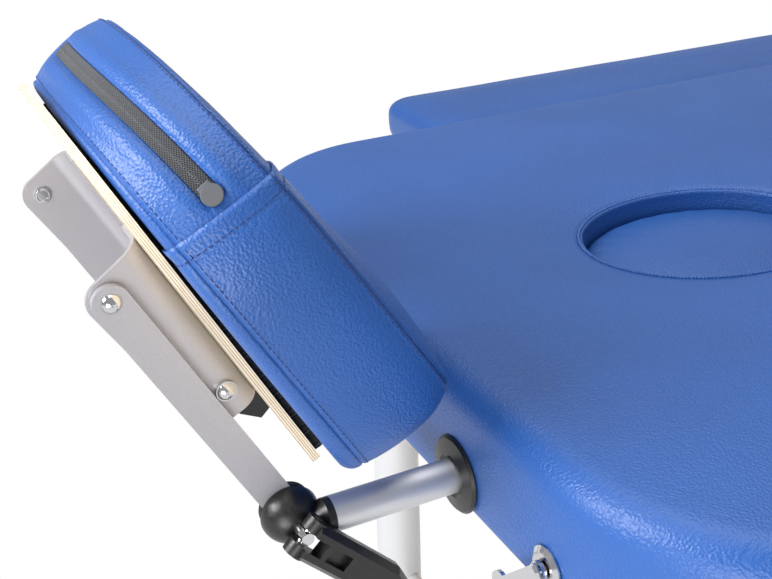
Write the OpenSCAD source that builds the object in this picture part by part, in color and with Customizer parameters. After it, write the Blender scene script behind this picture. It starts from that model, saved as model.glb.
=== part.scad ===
// Folding massage table: two padded sections on an aluminium frame, four telescopic legs,
// an adjustable headrest with a horseshoe cushion, and two plug-in side armrests.
// The head end face of the table lies at x = 0 before the whole part is centred.

/* [Table] */
// Length of the table top, both sections together
table_len = 1860; // [1500:10:2000]
// Width of the table top
table_w = 700; // [560:10:800]
// Height of the table top above the floor
table_height = 700; // [650:5:850]
// Corner radius of the table top seen from above
corner_r = 140; // [60:5:200]
// Thickness of the foam pad over the deck
pad_t = 45; // [30:1:70]
// Thickness of the upholstered skirt round the frame
skirt_t = 3; // [2:0.5:6]
// Thickness of the plywood deck
deck_t = 5; // [3:0.5:10]

/* [Frame] */
// Height of the rail tube
rail_h = 38; // [34:1:60]
// Width of the rail tube
rail_w = 25; // [18:1:40]
// Wall of the rail tube
rail_wall = 2; // [1.5:0.5:4]
// Thickness of a hinge leaf
leaf_t = 1.5; // [1:0.1:2]
// Height of a hinge leaf on the rail
leaf_h = 28; // [16:1:32]
// Length of one hinge along the joint
hinge_len = 210; // [90:5:260]
// Outer radius of the hinge knuckle
knuckle_r = 4; // [3:0.5:6]
// Radius of the hinge pin
hinge_pin_r = 2; // [1.5:0.25:2.5]
// Gap between the frame and the hinge knuckles
hinge_drop = 3.5; // [3.5:0.5:8]

/* [Legs] */
// Distance of the leg pivots from the end of the table
leg_inset = 135; // [110:5:200]
// Distance of the head legs from the side of the table
leg_side = 88; // [80:1:110]
// Distance of the foot legs inside the head legs
leg_nest = 54; // [54:1:90]
// Outer radius of the upper leg tube
leg_r = 22.5; // [18:0.5:23]
// Outer radius of the lower leg tube
inner_leg_r = 20; // [15:0.5:20]
// Wall of the lower leg tube
inner_leg_wall = 2; // [1:0.5:3]
// Drop of the leg pivot below the deck
pivot_drop = 27; // [26.5:0.5:28]
// Height of the lower end of the upper leg tube above the floor
leg_tube_bottom = 190; // [180:5:200]
// Height of the upper end of the lower leg tube above the floor
inner_leg_top = 515; // [400:5:515]
// Radius of the leg pivot pin
leg_pin_r = 4; // [3:0.5:6]
// Thickness of the leg bracket sheet
leg_bracket_t = 2.5; // [2:0.5:3]
// Length of the leg bracket along the table
leg_bracket_len = 60; // [40:5:90]
// Height of the crossbar above the floor
crossbar_z = 235; // [235:5:420]
// Radius of the crossbar tube
crossbar_r = 10; // [8:0.5:11]
// Outer radius of the twist collar
collar_r = 25.5; // [24.5:0.1:25.5]
// Height of the twist collar
collar_h = 40; // [30:1:48]
// Outer radius of the rubber foot
foot_r = 24; // [22:0.5:25]
// Height of the rubber foot
foot_h = 45; // [30:1:60]

/* [Headrest] */
// Distance between the two headrest tubes
tube_spacing = 210; // [190:5:230]
// Radius of the headrest tubes
tube_r = 11; // [9:0.5:12]
// Wall of the headrest tubes
tube_wall = 2; // [1:0.5:3]
// Distance of the tilt axis from the end of the table
hub_reach = 105; // [95:1:130]
// Length of the headrest tubes inside the table
tube_insert = 140; // [120:5:160]
// Angle of the arms below the horizontal, seen from the table
head_angle = 62; // [50:1:70]
// Length of the arms between their two pivots
arm_len = 178; // [160:1:200]
// Width of the arm bar
arm_w = 20; // [16:1:24]
// Thickness of the arm bar
arm_t = 4; // [3:0.5:5]
// Radius of the hub dome
hub_r = 18; // [15:0.5:19]
// Length of the cam lever
lever_len = 86; // [70:1:100]
// Width of the cam lever
lever_w = 25; // [20:1:28]
// Distance of the headrest board from the tilt axis
board_start = 45; // [40:1:60]
// Length of the headrest board
board_len = 212; // [200:1:240]
// Width of the headrest board
board_w = 260; // [220:1:280]
// Thickness of the headrest board
board_t = 5; // [4:0.5:8]
// Height of the board above the arm axis
board_seat = 29.5; // [26:0.5:36]
// Distance of the cushion's limb ends from the tilt axis
cushion_start = 10; // [8:1:30]
// Length of the headrest cushion
cushion_len = 258; // [240:1:280]
// Width of the headrest cushion
cushion_w = 294; // [260:1:320]
// Thickness of the headrest cushion at its outer end
cushion_t_far = 57; // [40:1:70]
// Thickness of the headrest cushion next to the table
cushion_t_near = 86; // [60:1:90]
// Length of the face opening in the cushion
face_len = 150; // [120:1:170]
// Width of the face opening in the cushion
face_w = 112; // [90:1:120]
// Width of the gap between the two limbs of the cushion
limb_gap = 64; // [40:1:80]

/* [Face hole] */
// Distance of the face hole centre from the end of the table
face_hole_x = 277; // [260:1:300]
// Length of the face hole in the pad
face_hole_len = 200; // [180:1:220]
// Width of the face hole in the pad
face_hole_w = 152; // [130:1:170]
// Depth of the plug top below the pad top
plug_sink = 12; // [6:1:16]

/* [Armrests] */
// Length of an armrest
armrest_len = 640; // [400:10:660]
// Width of an armrest
armrest_w = 160; // [120:5:200]
// Thickness of an armrest
armrest_t = 40; // [30:1:50]
// Distance of the armrest from the end of the table
armrest_x = 250; // [240:1:262]
// Radius of the armrest rods
rod_r = 8; // [6:0.5:10]

/* [Latches] */
// Distance of the latches from the side of the table
latch_side = 145; // [140:1:170]
// Radius of the latch rosette
rosette_r = 13; // [10:0.5:16]
// Radius of the latch stud
stud_r = 3; // [2:0.5:4]

/* [Hidden] */

$fn = 48;
over = 1;                 // overrun of every cut
seat = 0.3;               // gap between a soft or loose piece and its seat
run = 0.05;               // radial running clearance of a shaft in its hole

// Heights of the layers, from the top down
deck_top = table_height - pad_t;
deck_low = deck_top - deck_t;
frame_low = deck_low - rail_h;
tube_z = frame_low + rail_h / 2;
leg_pivot_z = deck_low - pivot_drop;
section_len = table_len / 2;

// Sideways places, all measured from the side of the table
head_leg_y = table_w / 2 - leg_side;
foot_leg_y = head_leg_y - leg_nest;
latch_y = table_w / 2 - latch_side;

// Hinge between the sections, its axis low enough for the feet to pass the deck while folding
hinge_z = frame_low - knuckle_r - hinge_drop;
hinge_face = section_len - seat / 2;
rail_end = hinge_face - leaf_t;
rail_start = skirt_t + seat;

module at_table() { translate([-x_mid, 0, 0]) children(); }
module at_foot() { at_table() translate([table_len, 0, 0]) mirror([1, 0, 0]) children(); }
module both_sides() { for (m = [0, 1]) mirror([0, m, 0]) children(); }
module far_side() { mirror([0, 1, 0]) children(); }

// A cylinder along Y from y0 to y1
module y_rod(r, y0, y1) { translate([0, y0, 0]) rotate([-90, 0, 0]) cylinder(r = r, h = y1 - y0); }
// A cylinder along X from x0 to x1
module x_rod(r, x0, x1) { translate([x0, 0, 0]) rotate([0, 90, 0]) cylinder(r = r, h = x1 - x0); }
// A box from its low corner to its high corner
module box(low, high) { translate(low) cube(high - low); }

function ellipse_points(a, b, n) = [for (i = [0:n - 1]) [a * cos(360 * i / n), b * sin(360 * i / n)]];

// Plan of one section with its outer corners rounded, drawn in by inset all round
module section_flat(inset, end) {
    side_y = table_w / 2;
    translate([corner_r, -side_y + inset]) square([end - corner_r, table_w - 2 * inset]);
    translate([inset, -side_y + corner_r]) square([corner_r - inset, table_w - 2 * corner_r]);
    for (s = [-1, 1]) translate([corner_r, s * (side_y - corner_r)]) circle(r = corner_r - inset, $fn = 64);
}

// Outline points of the same plan for the soft pad, whose joint face keeps straighter
arc_steps = 8;
joint_share = 0.3;
function corner_arc(cx, cy, r, from) =
    [for (i = [0:arc_steps]) let (a = from + 90 * i / arc_steps) [cx + r * cos(a), cy + r * sin(a)]];
function pad_outline(inset) =
    let (r = corner_r - inset, c = table_w / 2 - corner_r, x = hinge_face - inset * joint_share,
        y = table_w / 2 - inset)
    concat(corner_arc(corner_r, -c, r, 180), [[x, -y], [x, y]], corner_arc(corner_r, c, r, 90));

// A closed solid through rings of equally many points; rings turn anticlockwise seen from the last ring
module loft(rings) {
    n = len(rings[0]);
    last = len(rings) - 1;
    points = [for (ring = rings) for (p = ring) p];
    low_cap = [for (i = [0:n - 1]) i];
    high_cap = [for (i = [n - 1:-1:0]) last * n + i];
    sides = [for (k = [0:last - 1]) for (i = [0:n - 1]) let (j = (i + 1) % n)
        each [[k * n + i, (k + 1) * n + i, (k + 1) * n + j], [k * n + i, (k + 1) * n + j, k * n + j]]];
    polyhedron(points = points, faces = concat([low_cap, high_cap], sides));
}
function ring_at(outline, z) = [for (p = outline) [p[0], p[1], z]];

// Soft edge of a pad: rings that round over a top edge of radius r and end on the crown
edge_steps = 4;
function edge_profile(top, r) =
    [for (i = [0:edge_steps]) let (a = 90 * i / edge_steps) [r * (1 - cos(a)), top - r * (1 - sin(a))]];

// Pads of the two sections
pad_edge_r = 22;
pad_crown = 3;
crown_inset = 95;
skirt_draw = 2;
skirt_belly = 24;
function pad_profile() = concat([[skirt_draw, frame_low], [0, frame_low + skirt_belly]],
    edge_profile(table_height - pad_crown, pad_edge_r), [[crown_inset, table_height]]);

module pad_solid() {
    difference() {
        loft([for (p = pad_profile()) ring_at(pad_outline(p[0]), p[1])]);
        translate([0, 0, frame_low - over]) linear_extrude(deck_top - frame_low + over)
            section_flat(skirt_t, hinge_face + over);
    }
}

// Rim of the face hole: a straight wall that rounds over at the top
rim_r = 9;
hole_steps = 48;
function hole_ring(grow, z) = [for (p = ellipse_points(face_hole_len / 2 + grow, face_hole_w / 2 + grow,
    hole_steps)) [face_hole_x + p[0], p[1], z]];
module face_hole_cut() {
    loft(concat([hole_ring(0, deck_top - over)],
        [for (i = [0:edge_steps]) let (a = 90 * i / edge_steps)
            hole_ring(rim_r * (1 - cos(a)), table_height - rim_r * (1 - sin(a)))],
        [hole_ring(rim_r + over, table_height + over)]));
}

module head_pad() {
    color("royalblue") at_table() difference() {
        pad_solid();
        face_hole_cut();
        both_sides() translate([0, tube_spacing / 2, tube_z]) x_rod(socket_r + seat, -over, skirt_t + over);
        both_sides() for (x = rod_places) translate([x, 0, tube_z])
            y_rod(rod_sleeve_r + seat, table_w / 2 - skirt_t - over, table_w / 2 + over);
    }
}
module foot_pad() { color("royalblue") at_foot() pad_solid(); }

// Ledge of the deck under the plug
plug_ledge = 12;
module deck_solid() {
    translate([0, 0, deck_low]) linear_extrude(deck_t) section_flat(rail_start, rail_end);
}
module head_deck() {
    color("burlywood") at_table() difference() {
        deck_solid();
        translate([face_hole_x, 0, deck_low - over]) linear_extrude(deck_t + 2 * over)
            polygon(ellipse_points(face_hole_len / 2 - plug_ledge, face_hole_w / 2 - plug_ledge, hole_steps));
    }
}
module foot_deck() { color("burlywood") at_foot() deck_solid(); }

// Rails: the side rails, the bent end rail and the straight rail at the joint
rail_y = table_w / 2 - rail_start;
module side_rail() {
    x_end = rail_end - rail_w;
    difference() {
        box([corner_r, rail_y - rail_w, frame_low], [x_end, rail_y, deck_low]);
        box([corner_r - over, rail_y - rail_w + rail_wall, frame_low + rail_wall],
            [x_end + over, rail_y - rail_wall, deck_low - rail_wall]);
    }
}
module end_rail_solid(inset) {
    bend_r = corner_r - rail_start - inset;
    half = table_w / 2 - corner_r;
    for (s = [-1, 1]) translate([corner_r, s * half, frame_low + inset]) rotate([0, 0, s < 0 ? 180 : 90])
        rotate_extrude(angle = 90, $fn = 64)
            translate([corner_r - rail_start - rail_w + inset, 0])
                square([rail_w - 2 * inset, rail_h - 2 * inset]);
    box([rail_start + inset, -half, frame_low + inset],
        [rail_start + rail_w - inset, half, deck_low - inset]);
}
module end_rail() {
    difference() {
        end_rail_solid(0);
        end_rail_solid(rail_wall);
    }
}
module hinge_rail() {
    difference() {
        box([rail_end - rail_w, -rail_y, frame_low], [rail_end, rail_y, deck_low]);
        box([rail_end - rail_w + rail_wall, -rail_y - over, frame_low + rail_wall],
            [rail_end - rail_wall, rail_y + over, deck_low - rail_wall]);
    }
}
module head_side_rails() {
    color("silver") at_table() both_sides() difference() {
        side_rail();
        for (x = rod_places) translate([x, 0, tube_z]) y_rod(rod_sleeve_r, rail_y - rail_w - over, rail_y + over);
    }
}
module head_end_rail() {
    color("silver") at_table() difference() {
        end_rail();
        both_sides() translate([0, tube_spacing / 2, tube_z])
            x_rod(socket_r, rail_start - over, rail_start + rail_w + over);
    }
}
module head_hinge_rail() { color("silver") at_table() hinge_rail(); }
module foot_side_rails() { color("silver") at_foot() both_sides() side_rail(); }
module foot_end_rail() { color("silver") at_foot() end_rail(); }
module foot_hinge_rail() { color("silver") at_foot() hinge_rail(); }

// Sockets of the headrest tubes, hung from the deck by two saddles each
socket_wall = 2.4;
socket_r = tube_r + run + socket_wall;
socket_start = rail_start + rail_w;
socket_spare = 20;
socket_end = tube_insert + socket_spare;
saddle_w = 20;
saddle_len = 14;
module headrest_sockets() {
    color("gainsboro") at_table() both_sides() translate([0, tube_spacing / 2, 0]) difference() {
        union() {
            translate([0, 0, tube_z]) x_rod(socket_r, socket_start, socket_end);
            for (x = [socket_start + saddle_len, socket_end - 2 * saddle_len])
                box([x, -saddle_w / 2, tube_z], [x + saddle_len, saddle_w / 2, deck_low]);
        }
        translate([0, 0, tube_z]) x_rod(tube_r + run, socket_start - over, socket_end + over);
    }
}

// Plastic grommets of the headrest tubes
grommet_r = 25;
grommet_t = 4;
grommet_edge = 1.6;
module headrest_grommets() {
    color("dimgray") at_table() both_sides() translate([0, tube_spacing / 2, tube_z]) rotate([0, -90, 0])
        rotate_extrude() polygon([[tube_r + run, -socket_start], [socket_r, -socket_start], [socket_r, 0],
            [grommet_r, 0], [grommet_r, grommet_t - 2 * grommet_edge],
            [grommet_r - grommet_edge, grommet_t - grommet_edge],
            [tube_r + 2 * grommet_edge, grommet_t], [tube_r + run, grommet_t - grommet_edge]]);
}

// Leg brackets: a base under the deck, two cheeks and the pivot pin with its heads
cheek_gap = 0.4;
cheek_r = 11;
pin_head_r = 7;
pin_head_t = 3;
module leg_bracket(y) {
    base = deck_low - leg_bracket_t;
    inner = leg_r + cheek_gap;
    outer = inner + leg_bracket_t;
    translate([leg_inset, y, 0]) {
        box([-leg_bracket_len / 2, -outer, base], [leg_bracket_len / 2, outer, deck_low]);
        for (m = [0, 1]) mirror([0, m, 0]) difference() {
            translate([0, outer, 0]) rotate([90, 0, 0]) linear_extrude(leg_bracket_t) {
                polygon([[-leg_bracket_len / 2, base], [-cheek_r, leg_pivot_z], [cheek_r, leg_pivot_z],
                    [leg_bracket_len / 2, base]]);
                translate([0, leg_pivot_z]) circle(r = cheek_r);
            }
            translate([0, 0, leg_pivot_z]) y_rod(leg_pin_r, inner - over, outer + over);
        }
        translate([0, 0, leg_pivot_z]) {
            y_rod(leg_pin_r, -outer, outer);
            y_rod(pin_head_r, outer, outer + pin_head_t);
            y_rod(pin_head_r, -outer - pin_head_t, -outer);
        }
    }
}
module head_leg_brackets() { color("gray") at_table() both_sides() leg_bracket(head_leg_y); }
module foot_leg_brackets() { color("gray") at_foot() both_sides() leg_bracket(foot_leg_y); }

// Hinges: leaves in the joint between the rails, knuckles below it, and the pins
hinge_side = 30;
hinge_y = table_w / 2 - hinge_side - hinge_len / 2;
knuckles = 3;
pin_cap_t = 1.5;
module hinge_leaf(own) {
    part_len = hinge_len / knuckles;
    translate([0, hinge_y - hinge_len / 2, 0]) {
        box([rail_end, 0, frame_low], [hinge_face, hinge_len, frame_low + leaf_h]);
        for (k = own) difference() {
            union() {
                box([rail_end, k * part_len + seat, hinge_z], [hinge_face, (k + 1) * part_len - seat, frame_low]);
                translate([section_len, 0, hinge_z])
                    y_rod(knuckle_r, k * part_len + seat, (k + 1) * part_len - seat);
            }
            translate([section_len, 0, hinge_z])
                y_rod(hinge_pin_r + run, k * part_len - over, (k + 1) * part_len + over);
        }
    }
}
module head_hinge_leaves() {
    color("silver") at_table() both_sides() {
        hinge_leaf([0, 2]);
        translate([section_len, hinge_y, hinge_z]) {
            y_rod(hinge_pin_r, -hinge_len / 2 + seat, hinge_len / 2 - seat);
            for (m = [0, 1]) mirror([0, m, 0])
                y_rod(knuckle_r - 1 * seat, hinge_len / 2 - seat, hinge_len / 2 - seat + pin_cap_t);
        }
    }
}
module foot_hinge_leaves() { color("silver") at_foot() both_sides() hinge_leaf([1]); }

// Latches: rosette and post on the head end, hook on the post, stud on the foot end
rosette_t = 3;
post_r = 2.5;
hook_t = 2.5;
hook_w = 9;
hook_gap = 1;
hook_rest = 45;
hook_len = 2 * (tube_z - hinge_z);
post_len = rosette_t + hook_gap + hook_t + hook_gap;
cap_t = 2;
cap_r = 5;
stud_reach = post_len + cap_t;
module rosette_profile(r, t) {
    polygon([[0, 0], [r, 0], [r, t / 3], [r - t, t], [0, t]]);
}
module latch_post(base_r, shaft_r) {
    rotate([0, -90, 0]) {
        rotate_extrude() rosette_profile(base_r, rosette_t);
        cylinder(r = shaft_r, h = post_len);
        translate([0, 0, post_len]) rotate_extrude() rosette_profile(cap_r, cap_t);
    }
}
module latch_rosettes() {
    color("silver") at_table() both_sides() translate([0, latch_y, tube_z]) latch_post(rosette_r, post_r);
}
module latch_studs() {
    color("silver") at_foot() both_sides() translate([0, latch_y, tube_z])
        latch_post(rosette_r - rosette_t, stud_r);
}
module latch_hook() {
    slot_r = stud_r + seat;
    at_table() translate([-rosette_t - hook_gap, latch_y, tube_z]) rotate([-hook_rest, 0, 0])
        rotate([0, -90, 0]) linear_extrude(hook_t) difference() {
            union() {
                circle(r = hook_w * 2 / 3);
                translate([-hook_len - hook_w, -hook_w / 2]) square([hook_len + hook_w, hook_w]);
                translate([-hook_len, 0]) circle(r = hook_w);
            }
            circle(r = post_r + run);
            translate([-hook_len, 0]) circle(r = slot_r);
            translate([-hook_len - slot_r, 0]) square([2 * slot_r, 2 * hook_w]);
        }
}
module latch_hook_far() { color("silver") latch_hook(); }
module latch_hook_near() { color("silver") far_side() latch_hook(); }

// Sleeves and grommets of the armrest rods in the side rails
rod_inset = 140;
rod_places = [armrest_x + rod_inset, armrest_x + armrest_len - rod_inset];
rod_sleeve_wall = 2;
rod_sleeve_r = rod_r + run + rod_sleeve_wall;
rod_hold = 58;
rod_end = table_w / 2 - rod_hold;
rod_grommet_r = 16;
rod_grommet_t = 3;
module armrest_sockets() {
    color("gainsboro") at_table() both_sides() for (x = rod_places) translate([x, 0, tube_z]) difference() {
        y_rod(rod_sleeve_r, rod_end, rail_y);
        y_rod(rod_r + run, rod_end - over, rail_y + over);
    }
}
module armrest_grommets() {
    color("dimgray") at_table() both_sides() for (x = rod_places)
        translate([x, table_w / 2, tube_z]) rotate([-90, 0, 0]) rotate_extrude()
            polygon([[rod_r + run, -skirt_t - seat], [rod_sleeve_r, -skirt_t - seat], [rod_sleeve_r, 0],
                [rod_grommet_r, 0], [rod_grommet_r - rod_grommet_t / 2, rod_grommet_t],
                [rod_r + run, rod_grommet_t]]);
}

// Plug of the face hole: an oval cushion on its own board, resting on the ledge of the deck
plug_board_t = 5;
plug_gap = 0.6;
plug_edge_r = 10;
plug_crown = 5;
function plug_ring(inset, z) = [for (p = ellipse_points(face_hole_len / 2 - plug_gap - inset,
    face_hole_w / 2 - plug_gap - inset, hole_steps)) [face_hole_x + p[0], p[1], z]];
module face_plug_board() {
    color("burlywood") at_table() translate([face_hole_x, 0, deck_top + seat]) linear_extrude(plug_board_t)
        polygon(ellipse_points(face_hole_len / 2 - plug_ledge / 4, face_hole_w / 2 - plug_ledge / 4, hole_steps));
}
module face_plug_cushion() {
    low = deck_top + seat + plug_board_t;
    top = table_height - plug_sink;
    rings = concat([[plug_gap, low], [0, low + plug_edge_r]], edge_profile(top - plug_crown, plug_edge_r),
        [[plug_edge_r * 2, top - plug_crown / 3], [plug_edge_r * 4, top]]);
    color("royalblue") at_table() loft([for (p = rings) plug_ring(p[0], p[1])]);
}

// Legs: upper tubes on the crossbar, lower tubes, twist collars and rubber feet
tube_top_over = 8;
crossbar_offset = 4;
liner_lip = 15;
foot_floor = 6;
foot_bevel = 3;
module upper_leg(y) {
    translate([leg_inset, y, 0]) difference() {
        translate([0, 0, leg_tube_bottom])
            cylinder(r = leg_r, h = leg_pivot_z + tube_top_over - leg_tube_bottom);
        translate([0, 0, leg_tube_bottom - over])
            cylinder(r = inner_leg_r + run, h = leg_pivot_z + tube_top_over - leg_tube_bottom + 2 * over);
        translate([0, 0, leg_pivot_z]) y_rod(leg_pin_r + run, -leg_r - over, leg_r + over);
    }
}
module crossbar(y) {
    difference() {
        translate([leg_inset + crossbar_offset, 0, crossbar_z]) y_rod(crossbar_r, -y, y);
        for (s = [-1, 1]) translate([leg_inset, s * y, crossbar_z - 2 * crossbar_r])
            cylinder(r = leg_r, h = 4 * crossbar_r);
    }
}
module lower_leg(y) {
    translate([leg_inset, y, 0]) difference() {
        translate([0, 0, foot_floor]) cylinder(r = inner_leg_r, h = inner_leg_top - foot_floor);
        translate([0, 0, foot_floor - over])
            cylinder(r = inner_leg_r - inner_leg_wall, h = inner_leg_top - foot_floor + 2 * over);
    }
}
module rubber_foot(y) {
    translate([leg_inset, y, 0]) rotate_extrude()
        polygon([[0, 0], [foot_r - foot_bevel, 0], [foot_r, foot_bevel], [foot_r, foot_h / 2],
            [inner_leg_r + 2 * run + foot_bevel / 2, foot_h], [inner_leg_r + run, foot_h],
            [inner_leg_r + run, foot_floor], [0, foot_floor]]);
}
grip_count = 12;
grip_r = 3;
module collar(y) {
    low = leg_tube_bottom - liner_lip;
    translate([leg_inset, y, low]) difference() {
        cylinder(r = collar_r, h = collar_h);
        translate([0, 0, -over]) cylinder(r = inner_leg_r + run, h = collar_h + 2 * over);
        translate([0, 0, liner_lip - seat]) cylinder(r = leg_r + run, h = collar_h);
        for (k = [0:grip_count - 1]) rotate([0, 0, 360 * k / grip_count])
            translate([collar_r + grip_r / 2, 0, -over]) cylinder(r = grip_r, h = collar_h + 2 * over, $fn = 16);
    }
}
module head_leg_tubes() { color("whitesmoke") at_table() both_sides() upper_leg(head_leg_y); }
module foot_leg_tubes() { color("whitesmoke") at_foot() both_sides() upper_leg(foot_leg_y); }
module head_leg_crossbar() { color("whitesmoke") at_table() crossbar(head_leg_y); }
module foot_leg_crossbar() { color("whitesmoke") at_foot() crossbar(foot_leg_y); }
module lower_leg_head_far() { color("gainsboro") at_table() lower_leg(head_leg_y); }
module lower_leg_head_near() { color("gainsboro") at_table() lower_leg(-head_leg_y); }
module lower_leg_foot_far() { color("gainsboro") at_foot() lower_leg(foot_leg_y); }
module lower_leg_foot_near() { color("gainsboro") at_foot() lower_leg(-foot_leg_y); }
module rubber_foot_head_far() { color("dimgray") at_table() rubber_foot(head_leg_y); }
module rubber_foot_head_near() { color("dimgray") at_table() rubber_foot(-head_leg_y); }
module rubber_foot_foot_far() { color("dimgray") at_foot() rubber_foot(foot_leg_y); }
module rubber_foot_foot_near() { color("dimgray") at_foot() rubber_foot(-foot_leg_y); }
module collar_head_far() { color("dimgray") at_table() collar(head_leg_y); }
module collar_head_near() { color("dimgray") at_table() collar(-head_leg_y); }
module collar_foot_far() { color("dimgray") at_foot() collar(foot_leg_y); }
module collar_foot_near() { color("dimgray") at_foot() collar(-foot_leg_y); }

// Headrest: sideways places, measured from the centre line outwards
hub_offset = 13;
arm_gap = 0.2;
hub_flat = tube_spacing / 2 - hub_offset;
arm_out = hub_flat - arm_gap;
arm_in = arm_out - arm_t;
bracket_out = arm_in - seat;
bracket_t = 2.5;
washer_t = 4.4;
washer_r = 16;
bolt_r = 4;
bolt_head_r = 7;
bolt_head_t = 5;
hub_neck = 21;
neck_start = 8;
neck_taper = 8.5;
plug_len = 30;
cam_r = 6.7;
dowel_r = 3;
dowel_y = hub_flat + hub_r + cam_r + seat;
lever_angle = 46;

// Tilting frame of the headrest: x runs from the outer end towards the hubs, z towards the cushion
module at_headrest() {
    at_table() translate([-hub_reach, 0, tube_z]) rotate([0, head_angle, 0]) children();
}
module headrest_tubes() {
    tube_start = -hub_reach + hub_neck;
    color("silver") at_table() both_sides() translate([0, tube_spacing / 2, tube_z]) difference() {
        x_rod(tube_r, tube_start, tube_insert);
        x_rod(tube_r - tube_wall, tube_start - over, tube_insert + over);
    }
}
module headrest_hubs() {
    color("dimgray") at_table() both_sides() translate([-hub_reach, 0, tube_z]) difference() {
        union() {
            translate([0, hub_flat, 0]) rotate([-90, 0, 0]) rotate_extrude() intersection() {
                circle(r = hub_r);
                square(hub_r);
            }
            translate([0, tube_spacing / 2, 0]) {
                translate([neck_start, 0, 0]) rotate([0, 90, 0])
                    cylinder(r1 = bolt_r, r2 = tube_r - run, h = neck_taper);
                x_rod(tube_r - run, neck_start + neck_taper, hub_neck);
                x_rod(tube_r - tube_wall - run, hub_neck, hub_neck + plug_len);
            }
        }
        y_rod(bolt_r + run, hub_flat - over, hub_flat + hub_r + over);
    }
}
module clamp_bolts() {
    head_in = arm_in - washer_t - arm_gap - bolt_head_t;
    color("silver") at_table() both_sides() translate([-hub_reach, 0, tube_z]) {
        y_rod(bolt_r, head_in, dowel_y + bolt_r);
        translate([0, head_in, 0]) rotate([-90, 0, 0]) cylinder(r = bolt_head_r, h = bolt_head_t, $fn = 6);
        translate([0, dowel_y, 0]) rotate([0, lever_angle, 0])
            cylinder(r = dowel_r, h = lever_w - 2 * seat, center = true);
    }
}
module arm_outline() {
    difference() {
        union() {
            translate([-arm_len, -arm_w / 2]) square([arm_len, arm_w]);
            circle(r = arm_w / 2);
            translate([-arm_len, 0]) circle(r = arm_w / 2);
        }
        circle(r = bolt_r + run);
        translate([-arm_len, 0]) circle(r = rivet_r + run);
    }
}
module headrest_arms() {
    color("silver") at_headrest() both_sides() translate([0, arm_out, 0]) rotate([90, 0, 0])
        linear_extrude(arm_t) arm_outline();
}
module clamp_washers() {
    color("dimgray") at_headrest() both_sides() difference() {
        y_rod(washer_r, arm_in - washer_t, arm_in);
        y_rod(bolt_r + run, arm_in - washer_t - over, arm_in + over);
    }
}

// Platform: bent angle brackets on their rivets, and the board
rivet_r = 3;
rivet_head_r = 5.4;
rivet_head_t = 3.4;
bend_r = 12;
bracket_foot = 28;
bracket_start = 75;
bracket_end = 194;
lobe_r = 12;
bracket_low = 6;
stop_x = 93;
stop_z = 16.5;
boss_r = 6;
boss_t = 2.5;
module angle_profile() {
    flat_y = bracket_out - bend_r;
    translate([bracket_out - bracket_t, -lobe_r - over]) square([bracket_t, board_seat - bend_r + lobe_r + over]);
    translate([flat_y - bracket_foot + bend_r, board_seat - bracket_t])
        square([bracket_foot - bend_r, bracket_t]);
    translate([flat_y, board_seat - bend_r]) intersection() {
        difference() {
            circle(r = bend_r);
            circle(r = bend_r - bracket_t);
        }
        square(bend_r);
    }
}
module bracket_side() {
    polygon([[-bracket_end, board_seat], [-arm_len - lobe_r, 0], [-arm_len, -lobe_r],
        [-bracket_start, -bracket_low], [-bracket_start, board_seat]]);
    translate([-arm_len, 0]) circle(r = lobe_r);
}
module platform_brackets() {
    color("silver") at_headrest() both_sides() difference() {
        intersection() {
            translate([-bracket_end - over, 0, 0]) rotate([90, 0, 90])
                linear_extrude(bracket_end - bracket_start + 2 * over) angle_profile();
            translate([0, bracket_out + over, 0]) rotate([90, 0, 0])
                linear_extrude(bracket_foot + 2 * over) bracket_side();
        }
        for (p = [[-arm_len, 0], [-stop_x, stop_z]]) translate([p[0], 0, p[1]])
            y_rod(rivet_r, bracket_out - bracket_t - over, bracket_out + over);
        translate([-stop_x, 0, stop_z]) y_rod(rivet_head_r + run, bracket_out - 2 * bracket_t, bracket_out - bracket_t);
    }
}
module rivet_dome() {
    dome_r = (rivet_head_r * rivet_head_r + rivet_head_t * rivet_head_t) / (2 * rivet_head_t);
    rotate([-90, 0, 0]) rotate_extrude() intersection() {
        translate([0, rivet_head_t - dome_r]) circle(r = dome_r);
        square([rivet_head_r, rivet_head_t]);
    }
}
module platform_rivets() {
    inner = bracket_out - bracket_t;
    back_t = 1.5;
    color("silver") at_headrest() both_sides() {
        translate([-arm_len, 0, 0]) {
            y_rod(rivet_r, inner, arm_out + arm_gap);
            translate([0, arm_out + arm_gap, 0]) rivet_dome();
            y_rod(rivet_head_r, inner - back_t, inner);
        }
        translate([-stop_x, 0, stop_z]) {
            y_rod(rivet_r, inner, bracket_out);
            y_rod(boss_r, bracket_out, bracket_out + boss_t);
            translate([0, bracket_out + boss_t, 0]) rivet_dome();
            y_rod(rivet_head_r, inner - back_t, inner);
        }
    }
}
board_corner = 8;
board_hole_inset = 4;
// The plan of the headrest is widest at cushion_x, between a round outer end and straight limbs
limb_share = 0.54;
face_share = 0.42;
head_power = 2.2;
limb_power = 5.5;
plan_steps = 24;
limb_part = cushion_len * limb_share;
head_part = cushion_len - limb_part;
cushion_x = -cushion_start - limb_part;
face_x = -cushion_start - cushion_len * face_share;
function power_point(a, b, t, e) = [a * sign(cos(t)) * pow(abs(cos(t)), 2 / e),
    b * sign(sin(t)) * pow(abs(sin(t)), 2 / e)];
function board_outline(inset) =
    let (end = board_start + board_len, half = board_w / 2 - inset, x = -board_start - inset - board_corner)
    concat([for (i = [0:plan_steps])
        power_point(end + cushion_x - inset, half, 90 + 180 * i / plan_steps, head_power) + [cushion_x, 0]],
        corner_arc(x, -half + board_corner, board_corner, 270), corner_arc(x, half - board_corner, board_corner, 0));
module rounded_plate(low, high, r) {
    translate([low[0] + r, low[1]]) square([high[0] - low[0] - 2 * r, high[1] - low[1]]);
    translate([low[0], low[1] + r]) square([high[0] - low[0], high[1] - low[1] - 2 * r]);
    for (x = [low[0] + r, high[0] - r], y = [low[1] + r, high[1] - r]) translate([x, y]) circle(r = r);
}
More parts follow.
